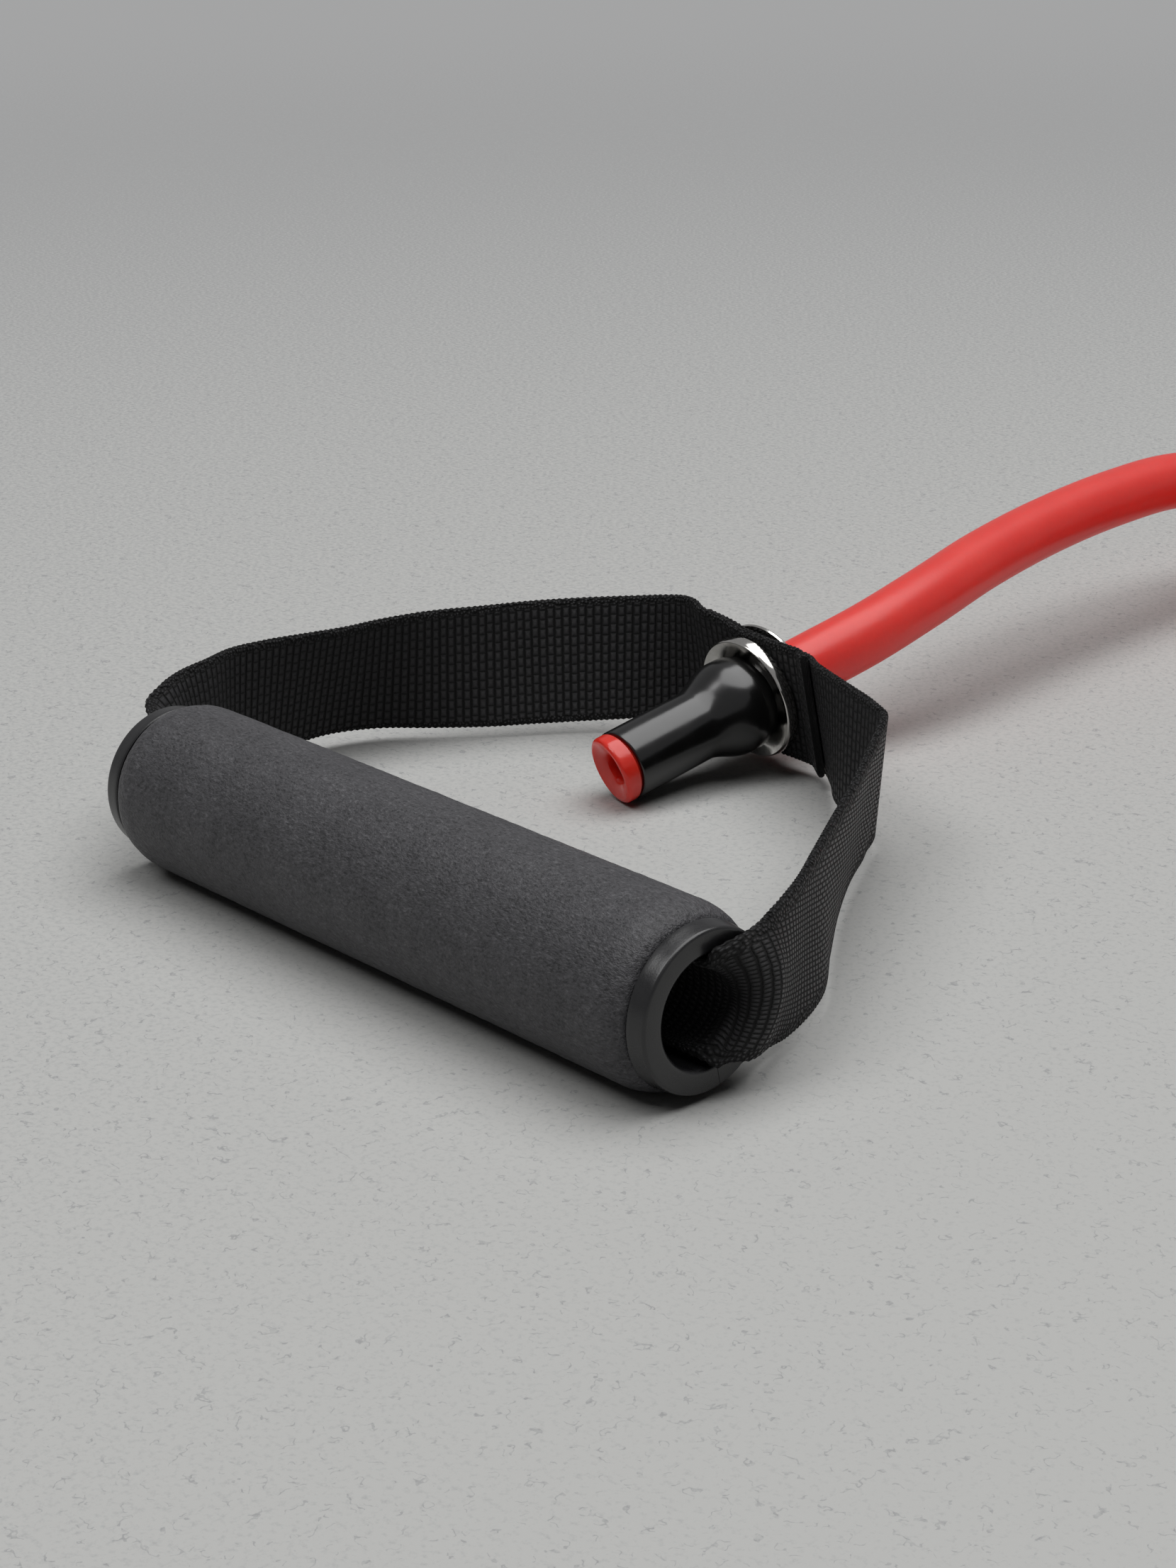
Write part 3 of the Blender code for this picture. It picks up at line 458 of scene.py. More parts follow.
dome = [
    (crown + (FLANGE_RADIUS - crown) * sin(a), front - 0.0004 - (FLANGE_DOME - 0.0004) * cos(a))
    for a in [pi / 2 * i / 12 for i in range(13)]
]
rim = [(FLANGE_RADIUS, front - 0.0002), (FLANGE_RADIUS - 0.0003, front)]
lip = arc(BARREL_RADIUS + 0.0005, back, LIP_ROLL, 0, 180, 10)
eyelet = turn_profile(
    dish + dome + rim + [(BARREL_RADIUS, front), (BARREL_RADIUS, back)] + lip + [(EYELET_INNER, back - 0.0004)],
    sides=RING_SIDES,
    closed=True,
)
eyelet.transform(LINE_FRAME)
nickel, tree, shader = new_finish("bright_nickel", (0.64, 0.63, 0.61), 0.12, metallic=1.0)
where = add(tree, "TexCoord").outputs["Object"]
rubbed = grain(tree, where, 400.0, 4.0, 0.65)
tree.links.new(tones(tree, rubbed, (0.35, 0.09), (0.75, 0.2)), shader.inputs["Roughness"])
tree.links.new(
    tones(tree, rubbed, (0.3, (0.66, 0.645, 0.62)), (0.8, (0.52, 0.505, 0.48))), shader.inputs["Base Color"]
)
raise_skin(tree, shader, grain(tree, where, 1800.0, 3.0), 0.000008)
fit_on_handles("eyelet", eyelet, "eyelet_ring", ["eyelet"], nickel)
hole = BARREL_RADIUS + FIT
washer_rim = [
    (WASHER_RADIUS - WASHER_DOME * (1 - cos(a)), washer_front + 0.0003 + (WASHER_THICKNESS - 0.0003) * sin(a))
    for a in [pi / 2 * i / 10 for i in range(11)]
]
washer = turn_profile(
    [(hole, washer_front), (WASHER_RADIUS - 0.0002, washer_front)]
    + washer_rim
    + [(hole, washer_front + WASHER_THICKNESS)],
    sides=RING_SIDES,
    closed=True,
)
washer.transform(LINE_FRAME)
fit_on_handles("eyelet_washer", washer, "eyelet_ring", ["eyelet_washer"], nickel)

# ---- Webbing straps
# One length of 25 mm black webbing for each handle. Both of its ends lie flat over each
# other under the eyelet; from there it makes the long right leg, curls up into the grip's
# bore, comes out of the other cap and makes the left leg. Each face has its own weave.
WEB_WIDTH = 0.0247
WEB_HALF = 0.0007
LAYER_STEP = 0.0017
ACROSS = 31
EDGE_STEPS = 3
CURL_RADIUS = 0.0074
FULL_CURL = 191.2
CAP_FACE = 0.06835
CAP_BORE_RADIUS = 0.0090
CAP_FLANGE_RADIUS = 0.01335
ROW_STEP = 0.00031
HIDDEN_ROW_STEP = 0.0020
EYELET_HOLE = 0.0080
MM = 0.001
TOP = GRIP_HEIGHT + WEB_WIDTH / 2
LOW = GRIP_HEIGHT - WEB_WIDTH / 2


def upright(x, y, lean=0.0, rise=0.0, curl=0.0, held=False):
    """A place of the webbing's middle: lean tips its top edge into the loop, and curl is
    the arc in degrees that its edges are bent through."""
    return (Vector((x, y, GRIP_HEIGHT + rise)), lean, curl, held, None)


def creased(middle, top, low, held=False):
    """A place where the webbing's two edges don't lie square to its middle."""
    return (Vector(middle), 0.0, 0.0, held, (Vector(top), Vector(low)))


def clamped(along, layer, lift):
    """A place under the eyelet: layer 1 is behind, and layer -1 in front, inside the loop."""
    across = Vector((cos(TUBE_TURN), -sin(TUBE_TURN), 0.0))
    up = across.cross(TUBE_WAY)
    spot = EYELET_PLACE + across * along + TUBE_WAY * layer * LAYER_STEP / 2 + up * lift
    return creased(spot, spot + up * WEB_WIDTH / 2, spot - up * WEB_WIDTH / 2, True)


def slanted(top_x, top_y, low_x, low_y):
    """A place on the soft fold, where the low edge cuts the corner."""
    above, below = Vector((top_x, top_y, TOP)), Vector((low_x, low_y, LOW))
    return creased((above + below) / 2, above, below)


def beside_cap(side, out, y, curl, held=False):
    """A place of the curled webbing, so far out from the face of the right or left cap."""
    return upright(side * (CAP_FACE + out), y, 0.0, 0.0, curl, held)


CLAMP = FLANGE_RADIUS + FIT
strap_places = [
    clamped(-CLAMP - 0.0006, 1, 0.0015),
    clamped(-CLAMP, 1, 0.0014),
    clamped(-0.0065, 1, 0.0007),
    clamped(-0.0015, 1, -0.0002),
    clamped(CLAMP, 1, -0.0009),
    upright(-0.0100, 0.1072, 9.0, -0.0004),
    upright(-0.0035, 0.1029, 3.0, -0.0002),
    upright(0.0030, 0.0995),
    slanted(0.0087, 0.0974, 0.0076, 0.0977),
    slanted(0.0138, 0.0950, 0.0121, 0.0956),
    slanted(0.0168, 0.0934, 0.0145, 0.0936),
    slanted(0.0188, 0.0912, 0.0164, 0.0909),
    slanted(0.0206, 0.0887, 0.0179, 0.0881),
    slanted(0.0238, 0.0841, 0.0209, 0.0836),
    upright(0.0256, 0.0787, -7.0),
    upright(0.0367, 0.0626, -6.5),
    upright(0.0467, 0.0486, -1.6),
    upright(0.0565, 0.0350, 3.3),
    upright(0.0612, 0.0267, 1.0),
    creased(
        (CAP_FACE - 0.0040, 0.0216, GRIP_HEIGHT),
        (CAP_FACE - 0.0045, 0.0213, TOP),
        (CAP_FACE - 0.0050, 0.0211, LOW),
    ),
    creased(
        (CAP_FACE - 0.0004, 0.0160, GRIP_HEIGHT + 0.0003),
        (CAP_FACE - 0.0014, 0.0142, TOP - 0.0004),
        (CAP_FACE - 0.0034, 0.0158, LOW + 0.0007),
    ),
    creased(
        (CAP_FACE + 0.0024, 0.0112, GRIP_HEIGHT + 0.0010),
        (CAP_FACE - 0.0002, CAP_FLANGE_RADIUS - 0.0045, TOP - 0.0015),
        (CAP_FACE + 0.0012, CAP_FLANGE_RADIUS - 0.0069, LOW + 0.0029),
    ),
    creased(
        (CAP_FACE + 0.0013, CAP_BORE_RADIUS - 0.0003, GRIP_HEIGHT + 0.0002),
        (CAP_FACE + 0.0014, 0.0034, TOP - 0.0012),
        (CAP_FACE + 0.0014, 0.0025, LOW + 0.0038),
    ),
    creased(
        (CAP_FACE - 0.0004, CURL_RADIUS + 0.0002, GRIP_HEIGHT),
        (CAP_FACE + 0.0011, -0.0007, GRIP_HEIGHT + CAP_BORE_RADIUS + 0.0011),
        (CAP_FACE + 0.0011, 0.0003, GRIP_HEIGHT - CAP_BORE_RADIUS + 0.0001),
    ),
    creased(
        (CAP_FACE - 0.0018, CURL_RADIUS, GRIP_HEIGHT),
        (CAP_FACE - 0.0003, -0.0006, GRIP_HEIGHT + CURL_RADIUS + 0.0006),
        (CAP_FACE - 0.0003, -0.0006, GRIP_HEIGHT - CURL_RADIUS - 0.0006),
    ),
    beside_cap(1, -0.0040, CURL_RADIUS, FULL_CURL),
    beside_cap(1, -0.0070, CURL_RADIUS, FULL_CURL, True),
    beside_cap(-1, -0.0070, CURL_RADIUS, FULL_CURL, True),
    beside_cap(-1, -0.0005, CURL_RADIUS, 0.97 * FULL_CURL),
    beside_cap(-1, 0.0045, CURL_RADIUS + 0.0002, 0.80 * FULL_CURL),
    beside_cap(-1, 0.0088, CURL_RADIUS + 0.0012, 0.58 * FULL_CURL),
    beside_cap(-1, 0.0119, CURL_RADIUS + 0.0041, 70.0),
    beside_cap(-1, 0.0160, CURL_RADIUS + 0.0092, 38.0),
    beside_cap(-1, 0.0190, CURL_RADIUS + 0.0158, 15.0),
    upright(-0.0911, 0.0305, 3.0),
    upright(-0.0921, 0.0380, 8.0),
    upright(-0.0922, 0.0470, 14.0),
    upright(-0.0914, 0.0560, 17.0),
    upright(-0.0894, 0.0645, 13.0),
    upright(-0.0848, 0.0735, 4.0),
    upright(-0.0791, 0.0830, -3.0),
    upright(-0.0744, 0.0922, -8.0),
    upright(-0.0683, 0.1005, -9.0, 0.0003),
    upright(-0.0618, 0.1068, -7.0, 0.0009),
    upright(-0.0572, 0.1101, -3.0, 0.0016),
    upright(-0.0528, 0.1119, 3.0, 0.0024),
    upright(-0.0488, 0.1122, 8.0, 0.0027),
    clamped(-CLAMP, -1, 0.0026),
    clamped(-0.0065, -1, 0.0018),
    clamped(-0.0015, -1, 0.0007),
    clamped(0.0065, -1, 0.0006),
    clamped(CLAMP, -1, 0.0007),
    upright(-0.0136, 0.1074, 10.0, 0.0003),
]


def section(i):
    """Points across the webbing's middle at one place, low edge first."""
    middle, lean, curl, _, edges = strap_places[i]
    shares = [(2 * k / (ACROSS - 1) - 1) for k in range(ACROSS)]
    inset = 1 - 2 * WEB_HALF / WEB_WIDTH
    if edges:
        top, low = edges
        bow = (top + low) / 2 - middle
        return [middle + (top - low) * share * inset / 2 + bow * (share * inset) ** 2 for share in shares]
    before = strap_places[max(i - 1, 0)][0]
    after = strap_places[min(i + 1, len(strap_places) - 1)][0]
    way = ((middle - before).xy.to_3d().normalized() + (after - middle).xy.to_3d().normalized()).normalized()
    inward = Vector((way.y, -way.x, 0.0))
    tilt = radians(lean)
    up = Vector((0.0, 0.0, cos(tilt))) + inward * sin(tilt)
    into = inward * cos(tilt) - Vector((0.0, 0.0, sin(tilt)))
    bend = max(radians(curl), 1e-4)
    radius = WEB_WIDTH / bend
    turns = [share * inset * bend / 2 for share in shares]
    return [middle + up * radius * sin(t) - into * radius * (1 - cos(t)) for t in turns]


def strap_rows():
    """Even rows along the strap on smooth curves through its places, with their distance."""
    sections = [section(i) for i in range(len(strap_places))]
    held = [place[3] for place in strap_places]
    spans = [(b[0] - a[0]).length for a, b in zip(strap_places, strap_places[1:])]
    last = len(spans)
    ways = []
    for i in range(last + 1):
        before = [(b - a) / spans[i - 1] for a, b in zip(sections[i - 1], sections[i])] if i else None
        after = [(b - a) / spans[i] for a, b in zip(sections[i], sections[i + 1])] if i < last else None
        if not before or (after and held[i] and held[i + 1]):
            ways.append(after)
        elif not after or (held[i] and held[i - 1]):
            ways.append(before)
        else:
            here, past = spans[i - 1], spans[i]
            ways.append([(b * past + a * here) / (here + past) for b, a in zip(before, after)])
    rows, gone = [], 0.0
    for i, span in enumerate(spans):
        step = HIDDEN_ROW_STEP if span > 0.1 else ROW_STEP
        count = max(round(span / step), 1)
        for j in range(count + (1 if i == last - 1 else 0)):
            t = j / count
            rest = 1 - t
            a, b = (1 + 2 * t) * rest**2, t**2 * (3 - 2 * t)
            c, d = span * t * rest**2, -span * t**2 * rest
            rows.append(
                (
                    gone + span * t,
                    [
                        p * a + q * b + m * c + n * d
                        for p, q, m, n in zip(sections[i], sections[i + 1], ways[i], ways[i + 1])
                    ],
                )
            )
        gone += span
    return rows


RIB_PITCH = 1.55 * MM
RIB_HEIGHT = 0.00010
LOOP_PITCH = 1.15 * MM
LOOP_HEIGHT = 0.00022


def rib(gone):
    """How proud the webbing's cross ribs stand, this far along it."""
    return sqrt(abs(sin(pi * gone / RIB_PITCH))) - 0.6


def strap_mesh():
    """The strap as one skin round all its rows, with a UV map in millimetres."""
    rows = strap_rows()
    around = 2 * (ACROSS + EDGE_STEPS)
    bm = bmesh.new()
    bmesh.ops.create_grid(bm, x_segments=around, y_segments=len(rows) - 1, size=1.0)
    gone_layer = bm.verts.layers.float.new("gone")
    girth_layer = bm.verts.layers.float.new("girth")
    face_width = WEB_WIDTH - 2 * WEB_HALF
    edge_width = pi * WEB_HALF
    for vert in bm.verts:
        j = round((vert.co.x + 1) / 2 * around)
        i = round((vert.co.y + 1) / 2 * (len(rows) - 1))
        gone, row = rows[i]
        ahead, behind = rows[min(i + 1, len(rows) - 1)][1], rows[max(i - 1, 0)][1]
        j_in = j % around
        if j_in < ACROSS:
            k, angle = j_in, 0.0
            girth = face_width * j_in / (ACROSS - 1)
        elif j_in < ACROSS + EDGE_STEPS:
            k, angle = ACROSS - 1, pi * (j_in - ACROSS + 1) / (EDGE_STEPS + 1)
            girth = face_width + edge_width * angle / pi
        elif j_in < 2 * ACROSS + EDGE_STEPS:
            k, angle = 2 * ACROSS + EDGE_STEPS - 1 - j_in, pi
            girth = face_width + edge_width + face_width * (j_in - ACROSS - EDGE_STEPS) / (ACROSS - 1)
        else:
            k, angle = 0, pi + pi * (j_in - 2 * ACROSS - EDGE_STEPS + 1) / (EDGE_STEPS + 1)
            girth = 2 * face_width + edge_width * angle / pi
        if j == around:
            girth = 2 * (face_width + edge_width)
        along = ahead[k] - behind[k]
        across = (row[min(k + 1, ACROSS - 1)] - row[max(k - 1, 0)]).normalized()
        normal = along.cross(across).normalized()
        from_edge = min(k, ACROSS - 1 - k) / (ACROSS - 1)
        out = WEB_HALF
        if angle == 0.0:
            out += RIB_HEIGHT * rib(gone) * min(from_edge * 12, 1.0)
        side = sin(angle)
        if abs(side) > 0.1:
            knot = 0.5 + 0.5 * sin(2 * pi * gone / LOOP_PITCH + 1.3 * noise.noise(Vector((gone * 300, k, 0.0))))
            out += LOOP_HEIGHT * (knot - 0.5)
        vert.co = row[k] + normal * out * cos(angle) + across * out * side
        vert[gone_layer] = gone
        vert[girth_layer] = girth
    uv = bm.loops.layers.uv.new("UVMap")
    for face in bm.faces:
        for loop in face.loops:
            loop[uv].uv = (loop.vert[gone_layer] / MM, loop.vert[girth_layer] / MM)
    bmesh.ops.remove_doubles(bm, verts=bm.verts, dist=1e-7)
    cut_ends = [e for e in bm.edges if e.is_boundary]
    bmesh.ops.holes_fill(bm, edges=cut_ends, sides=0)
    return bm


def punch_eyelet_hole(bm):
    """Takes the cells of both layers round the eyelet out, and walls the holes."""
    into = LINE_FRAME.inverted()
    gone_layer = bm.verts.layers.float["gone"]
    for low, high in ((0.0, 0.06), (0.42, 1.0)):
        inside = []
        for face in bm.faces:
            spot = into @ face.calc_center_median()
            gone = face.verts[0][gone_layer]
            if low <= gone <= high and hypot(spot.x, spot.y) < EYELET_HOLE and abs(spot.z) < 3 * STACK_HALF:
                inside.append(face)
        bmesh.ops.delete(bm, geom=inside, context="FACES")
        rims = [e for e in bm.edges if e.is_boundary]
        bmesh.ops.bridge_loops(bm, edges=rims)


# The weave's sizes are in millimetres, as the strap's UV map is.
YARN_PITCH = 0.86
FLOAT_LENGTH = 3.1
TWILL_SLOPE = 0.25
BLOCK_WIDTH = 1.86
BLOCK_DEPTH = 0.55
BLOCK_SHIFT = 0.35
YARN_WANDER = 0.5
SELVEDGE_START, SELVEDGE_END = 2.2, 1.4
RIGHT_CURL = (128.0, 150.0)
LEFT_CURL = (320.0, 335.0)


def weave(tree):
    """Height of the weave from 0 to 1. The UV map runs along the strap and round its section,
    from the low edge of the inner face. The inner face has ribs broken into blocks, the outer
    one a slanting twill that opens into bricks where the strap curls, and both edges loops."""
    place = add(tree, "TexCoord").outputs["UV"]
    uv = add(tree, "SeparateXYZ", Vector=place)
    gone, girth = uv.outputs["X"], uv.outputs["Y"]
    face_width = (WEB_WIDTH - 2 * WEB_HALF) / MM
    half_girth = face_width + pi * WEB_HALF / MM
    wander = calc(tree, "MULTIPLY", grain(tree, place, 0.6, 2.0), YARN_WANDER)
    along = calc(tree, "ADD", gone, wander)

    def ridge(value, pitch, power):
        wave = calc(tree, "ABSOLUTE", calc(tree, "SINE", calc(tree, "MULTIPLY", value, pi / pitch)))
        return calc(tree, "POWER", wave, power)

    def smooth(value, start, end, first, last):
        return add(
            tree, "MapRange", {"interpolation_type": "SMOOTHSTEP"},
            Value=value, From_Min=start, From_Max=end, To_Min=first, To_Max=last,
        ).outputs[0]

    def blend(first, second, share):
        return calc(tree, "MULTIPLY_ADD", calc(tree, "SUBTRACT", second, first), share, first)

    rib_pitch = RIB_PITCH / MM
    rank = calc(tree, "FLOOR", calc(tree, "DIVIDE", gone, rib_pitch))
    odd = calc(tree, "MULTIPLY", calc(tree, "MODULO", rank, 2.0), BLOCK_SHIFT)
    blocks = ridge(calc(tree, "ADD", girth, odd), BLOCK_WIDTH, 0.6)
    shallow = calc(tree, "MULTIPLY_ADD", blocks, BLOCK_DEPTH, 0.40)
    inner = calc(tree, "MINIMUM", ridge(gone, rib_pitch, 0.6), shallow)
    slope = calc(tree, "MULTIPLY_ADD", along, TWILL_SLOPE, girth)
    yarn = calc(tree, "FLOOR", calc(tree, "DIVIDE", slope, YARN_PITCH))
    lane = ridge(slope, YARN_PITCH, 0.65)
    shifted = calc(tree, "MULTIPLY_ADD", yarn, FLOAT_LENGTH / 2, along)
    twill = calc(tree, "MINIMUM", lane, ridge(shifted, FLOAT_LENGTH, 0.45))
    bricks = calc(tree, "MINIMUM", lane, ridge(along, rib_pitch, 0.6))
    curled = calc(tree, "MULTIPLY", smooth(gone, *RIGHT_CURL, 0.0, 1.0), smooth(gone, *LEFT_CURL, 1.0, 0.0))
    outer = blend(twill, bricks, curled)
    on_outer = calc(tree, "GREATER_THAN", girth, face_width + 0.5)
    faces = blend(inner, outer, on_outer)
    from_edge = calc(tree, "PINGPONG", calc(tree, "ADD", girth, pi * WEB_HALF / MM / 2), half_girth / 2)
    knots = add(
        tree, "TexVoronoi", {"voronoi_dimensions": "2D", "feature": "F1"},
        Vector=place, Scale=1.45, Randomness=0.75,
    ).outputs["Distance"]
    loops = calc(tree, "SUBTRACT", 1.0, calc(tree, "POWER", calc(tree, "MULTIPLY", knots, 1.5), 1.3))
    inside_edge = calc(tree, "MULTIPLY_ADD", on_outer, -1.0, from_edge)
    return blend(faces, loops, smooth(inside_edge, SELVEDGE_END, SELVEDGE_START, 1.0, 0.0))


webbing_cloth, tree, shader = new_finish("webbing_cloth", (0.02, 0.02, 0.022), 0.5, specular=0.38)
fibres = grain(tree, add(tree, "TexCoord").outputs["UV"], 7.0, 3.0, 0.6)
weave_relief_and_shade = calc(tree, "MULTIPLY", weave(tree), calc(tree, "MULTIPLY_ADD", fibres, 0.5, 0.75))
# The colour follows the weave's height: the gaps between yarns and between the edge loops are painted near black
# as shade, and the crests lighter; the fibres vary it at random.
tree.links.new(
    tones(
        tree, weave_relief_and_shade, (0.42, 0.0004), (0.62, (0.0045, 0.0045, 0.005)), (0.80, (0.014, 0.0135, 0.015)),
        (1.0, (0.036, 0.035, 0.038)),
    ),
    shader.inputs["Base Color"],
)
tree.links.new(tones(tree, weave_relief_and_shade, (0.5, 0.95), (0.85, 0.33)), shader.inputs["Roughness"])
raise_skin(tree, shader, weave_relief_and_shade, 0.00060)
strap = strap_mesh()
punch_eyelet_hole(strap)
bmesh.ops.recalc_face_normals(strap, faces=strap.faces)
fit_on_handles("strap", strap, "loop", ["strap"], webbing_cloth, smooth=60.0)

# ---- Foam grips
# A sleeve of closed-cell rubber foam with a fine pitted skin and softly rounded ends. Its
# own weight presses a narrow flat where it lies on the floor.
FOAM_RADIUS = 0.0150
FOAM_HALF = 0.06455
FOAM_INNER = 0.0120
FOAM_END_LENGTH = 0.0058
FOAM_END_DEPTH = 0.0026
FOAM_EDGE = 0.0004
SKIN_STEP = 0.0006
SKIN_DEPTH = 0.00007
PITS_PER_METRE = 620
SWELLS_PER_METRE = 150
GRIP_FRAME = axis_frame(Vector((0.0, 0.0, GRIP_HEIGHT)), Vector((1.0, 0.0, 0.0)), Vector((0.0, 0.0, -1.0)))
straight = FOAM_HALF - FOAM_END_LENGTH
rings = round(2 * straight / SKIN_STEP)
outside = [(FOAM_RADIUS, straight - 2 * straight * i / rings) for i in range(rings + 1)]
end = [
    (FOAM_RADIUS - FOAM_END_DEPTH * (1 - cos(a)), straight + FOAM_END_LENGTH * sin(a))
    for a in [radians(90 - 7.5 * i) for i in range(12)]
]
inner_round = arc(FOAM_INNER + FOAM_EDGE, FOAM_HALF - FOAM_EDGE, FOAM_EDGE, 180, 90, 3)
half_profile = inner_round + end
foam_profile = half_profile + outside + [(radius, -height) for radius, height in half_profile[::-1]]
foam = turn_profile(foam_profile, sides=156, closed=True)
foam.normal_update()
for vert in foam.verts:
    pits = noise.noise(vert.co * PITS_PER_METRE) + 0.6 * noise.noise(vert.co * PITS_PER_METRE * 2.1)
    swells = 0.7 * noise.noise(vert.co * SWELLS_PER_METRE)
    if hypot(vert.co.x, vert.co.y) > FOAM_INNER + 0.0006:
        vert.co += vert.normal * SKIN_DEPTH * (pits + swells)
foam.transform(GRIP_FRAME)
for vert in foam.verts:
    vert.co.z = max(vert.co.z, 0.0)
foam_skin, tree, shader = new_finish("foam_skin", (0.055, 0.054, 0.058), 0.48, specular=0.35)
where = add(tree, "TexCoord").outputs["Object"]
stretched = add(tree, "Mapping", Vector=where, Scale=(0.55, 1.0, 1.0)).outputs[0]
crackle = grain(tree, stretched, 2600.0, 2.0, 0.7)
coarse = grain(tree, stretched, 1500.0, 2.0, 0.6)
mottle = grain(tree, where, 110.0, 3.0, 0.6)
skin = calc(tree, "MULTIPLY_ADD", crackle, 0.6, calc(tree, "MULTIPLY", coarse, 0.4))
both = calc(tree, "MULTIPLY_ADD", skin, 0.85, calc(tree, "MULTIPLY", mottle, 0.15))
# The colour follows the skin's height: its pits are painted darker as shade and its raised grain lighter, and the
# mottle varies the tone at random.
tree.links.new(
    tones(
        tree, both, (0.38, (0.022, 0.022, 0.024)), (0.47, (0.052, 0.051, 0.055)), (0.56, (0.070, 0.069, 0.074)),
        (0.68, (0.136, 0.134, 0.142)),
    ),
    shader.inputs["Base Color"],
)
raise_skin(tree, shader, skin, 0.00038)
for grip in fit_on_handles("foam_grip", foam, "grip", ["foam_grip"], foam_skin, smooth=70.0):
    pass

# ---- Grip cores
# A hard plastic tube inside the foam, which the end caps plug into. It only shows deep in
# the bore, so the CAD solid stays, with the finish of cut pipe.
core_plastic, tree, shader = new_finish("core_plastic", (0.45, 0.45, 0.44), 0.5)
where = add(tree, "TexCoord").outputs["Object"]
drawn = grain(tree, add(tree, "Mapping", Vector=where, Scale=(0.05, 1.0, 1.0)).outputs[0], 900.0, 3.0)
tree.links.new(tones(tree, drawn, (0.3, 0.40), (0.7, 0.47)), shader.inputs["Base Color"])
raise_skin(tree, shader, drawn, 0.00002)
for side in "ab":
    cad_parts["grip_core_" + side].data.materials.clear()
    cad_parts["grip_core_" + side].data.materials.append(core_plastic)

# ---- End caps
# A moulded plastic cap in each end of the grip: a flange with a sloped, satin rim over the
# foam, a rounded mouth for the webbing, a fine parting line, and a spigot in the core.
CAP_THICKNESS = 0.0035
CAP_SLOPE = 0.0003
RIDGE_ROUND = 0.0006
MOUTH_ROUND = 0.0009
PARTING_ANGLE = radians(12.0)
PARTING_HALF = 0.00007
PARTING_DEPTH = 0.00009
SPIGOT_RADIUS = CAP_BORE_RADIUS + 0.0012
SPIGOT_LENGTH = 0.0200
cap_back = CAP_FACE - CAP_THICKNESS
mouth = [
    (CAP_BORE_RADIUS + MOUTH_ROUND * (1 - cos(a)), CAP_FACE - MOUTH_ROUND * (1 - sin(a)))
    for a in [pi / 2 * i / 8 for i in range(9)]
]
ridge_radius = CAP_FLANGE_RADIUS - CAP_SLOPE
ridge = arc(ridge_radius - RIDGE_ROUND, CAP_FACE - RIDGE_ROUND, RIDGE_ROUND, 90, 6, 7)
slope_points = [
    (ridge_radius + CAP_SLOPE * share, CAP_FACE - 0.0007 - (CAP_THICKNESS - 0.0012) * share)
    for share in (0.25, 0.5, 0.75, 1.0)
]
cap_profile = mouth + ridge + slope_points + [
    (CAP_FLANGE_RADIUS, cap_back + 0.0002),
    (CAP_FLANGE_RADIUS - 0.0002, cap_back),
    (SPIGOT_RADIUS, cap_back),
    (SPIGOT_RADIUS, cap_back - SPIGOT_LENGTH + 0.0008),
    (SPIGOT_RADIUS - 0.0004, cap_back - SPIGOT_LENGTH),
    (CAP_BORE_RADIUS, cap_back - SPIGOT_LENGTH),
]


def cap_shape():
    """The turned cap, with the parting line pressed into its face and rim."""
    bm = turn_profile(cap_profile, sides=144, closed=True)
    way = Vector((cos(PARTING_ANGLE), sin(PARTING_ANGLE), 0.0))
    side = Vector((-way.y, way.x, 0.0))
    for offset in (-PARTING_HALF, 0.0, PARTING_HALF):
        near = []
        for face in bm.faces:
            spot = face.calc_center_median()
            if spot.dot(way) > 0.008 and abs(spot.dot(side)) < 0.002 and spot.z > cap_back:
                near.append(face)
        geom = near + list({e for f in near for e in f.edges}) + list({v for f in near for v in f.verts})
        bmesh.ops.bisect_plane(bm, geom=geom, dist=1e-7, plane_co=side * offset, plane_no=side)
    bm.normal_update()
    pressed = [
        v for v in bm.verts
        if abs(v.co.dot(side)) < 1e-6 and v.co.dot(way) > CAP_BORE_RADIUS + 0.0003 and v.co.z > cap_back + 0.0004
    ]
    for vert in pressed:
        vert.co -= vert.normal * PARTING_DEPTH
    return bm


cap_plastic, tree, shader = new_finish("cap_plastic", (0.008, 0.008, 0.009), 0.30, specular=0.6)
where = add(tree, "TexCoord").outputs["Object"]
satin = grain(tree, where, 3200.0, 2.0)
scuffs = grain(tree, where, 260.0, 5.0, 0.7)
tree.links.new(tones(tree, scuffs, (0.35, 0.25), (0.7, 0.35)), shader.inputs["Roughness"])
tree.links.new(
    tones(tree, scuffs, (0.35, (0.007, 0.007, 0.008)), (0.75, (0.013, 0.013, 0.014))), shader.inputs["Base Color"]
)
raise_skin(tree, shader, satin, 0.000015)
for end_name, flip in (("right", Matrix.Identity(4)), ("left", Matrix.Rotation(pi, 4, "X"))):
    cap = cap_shape()
    cap.transform(GRIP_FRAME @ flip)
    fit_on_handles("end_cap_" + end_name, cap, "grip", ["end_cap_" + end_name], cap_plastic, smooth=30.0)

# ---- Coil tie
# A strip of hook-and-loop webbing, wrapped once round both layers of the coil with its end
# lapped over its start. It goes on the tube's body.
TIE_WIDTH = 0.0120
TIE_HALF = 0.00065
TIE_CLEARANCE = 0.0012
TIE_OVERLAP = radians(60.0)
TIE_STEPS = 90
TIE_AROUND = 20
TIE_INWARD = 0.0004
tie_x = COIL_MIDDLE.x + coil_radius(TIE_TURN) - TIE_INWARD
tie_low, tie_high = coil_height(TIE_TURN + 1), coil_height(TIE_TURN)


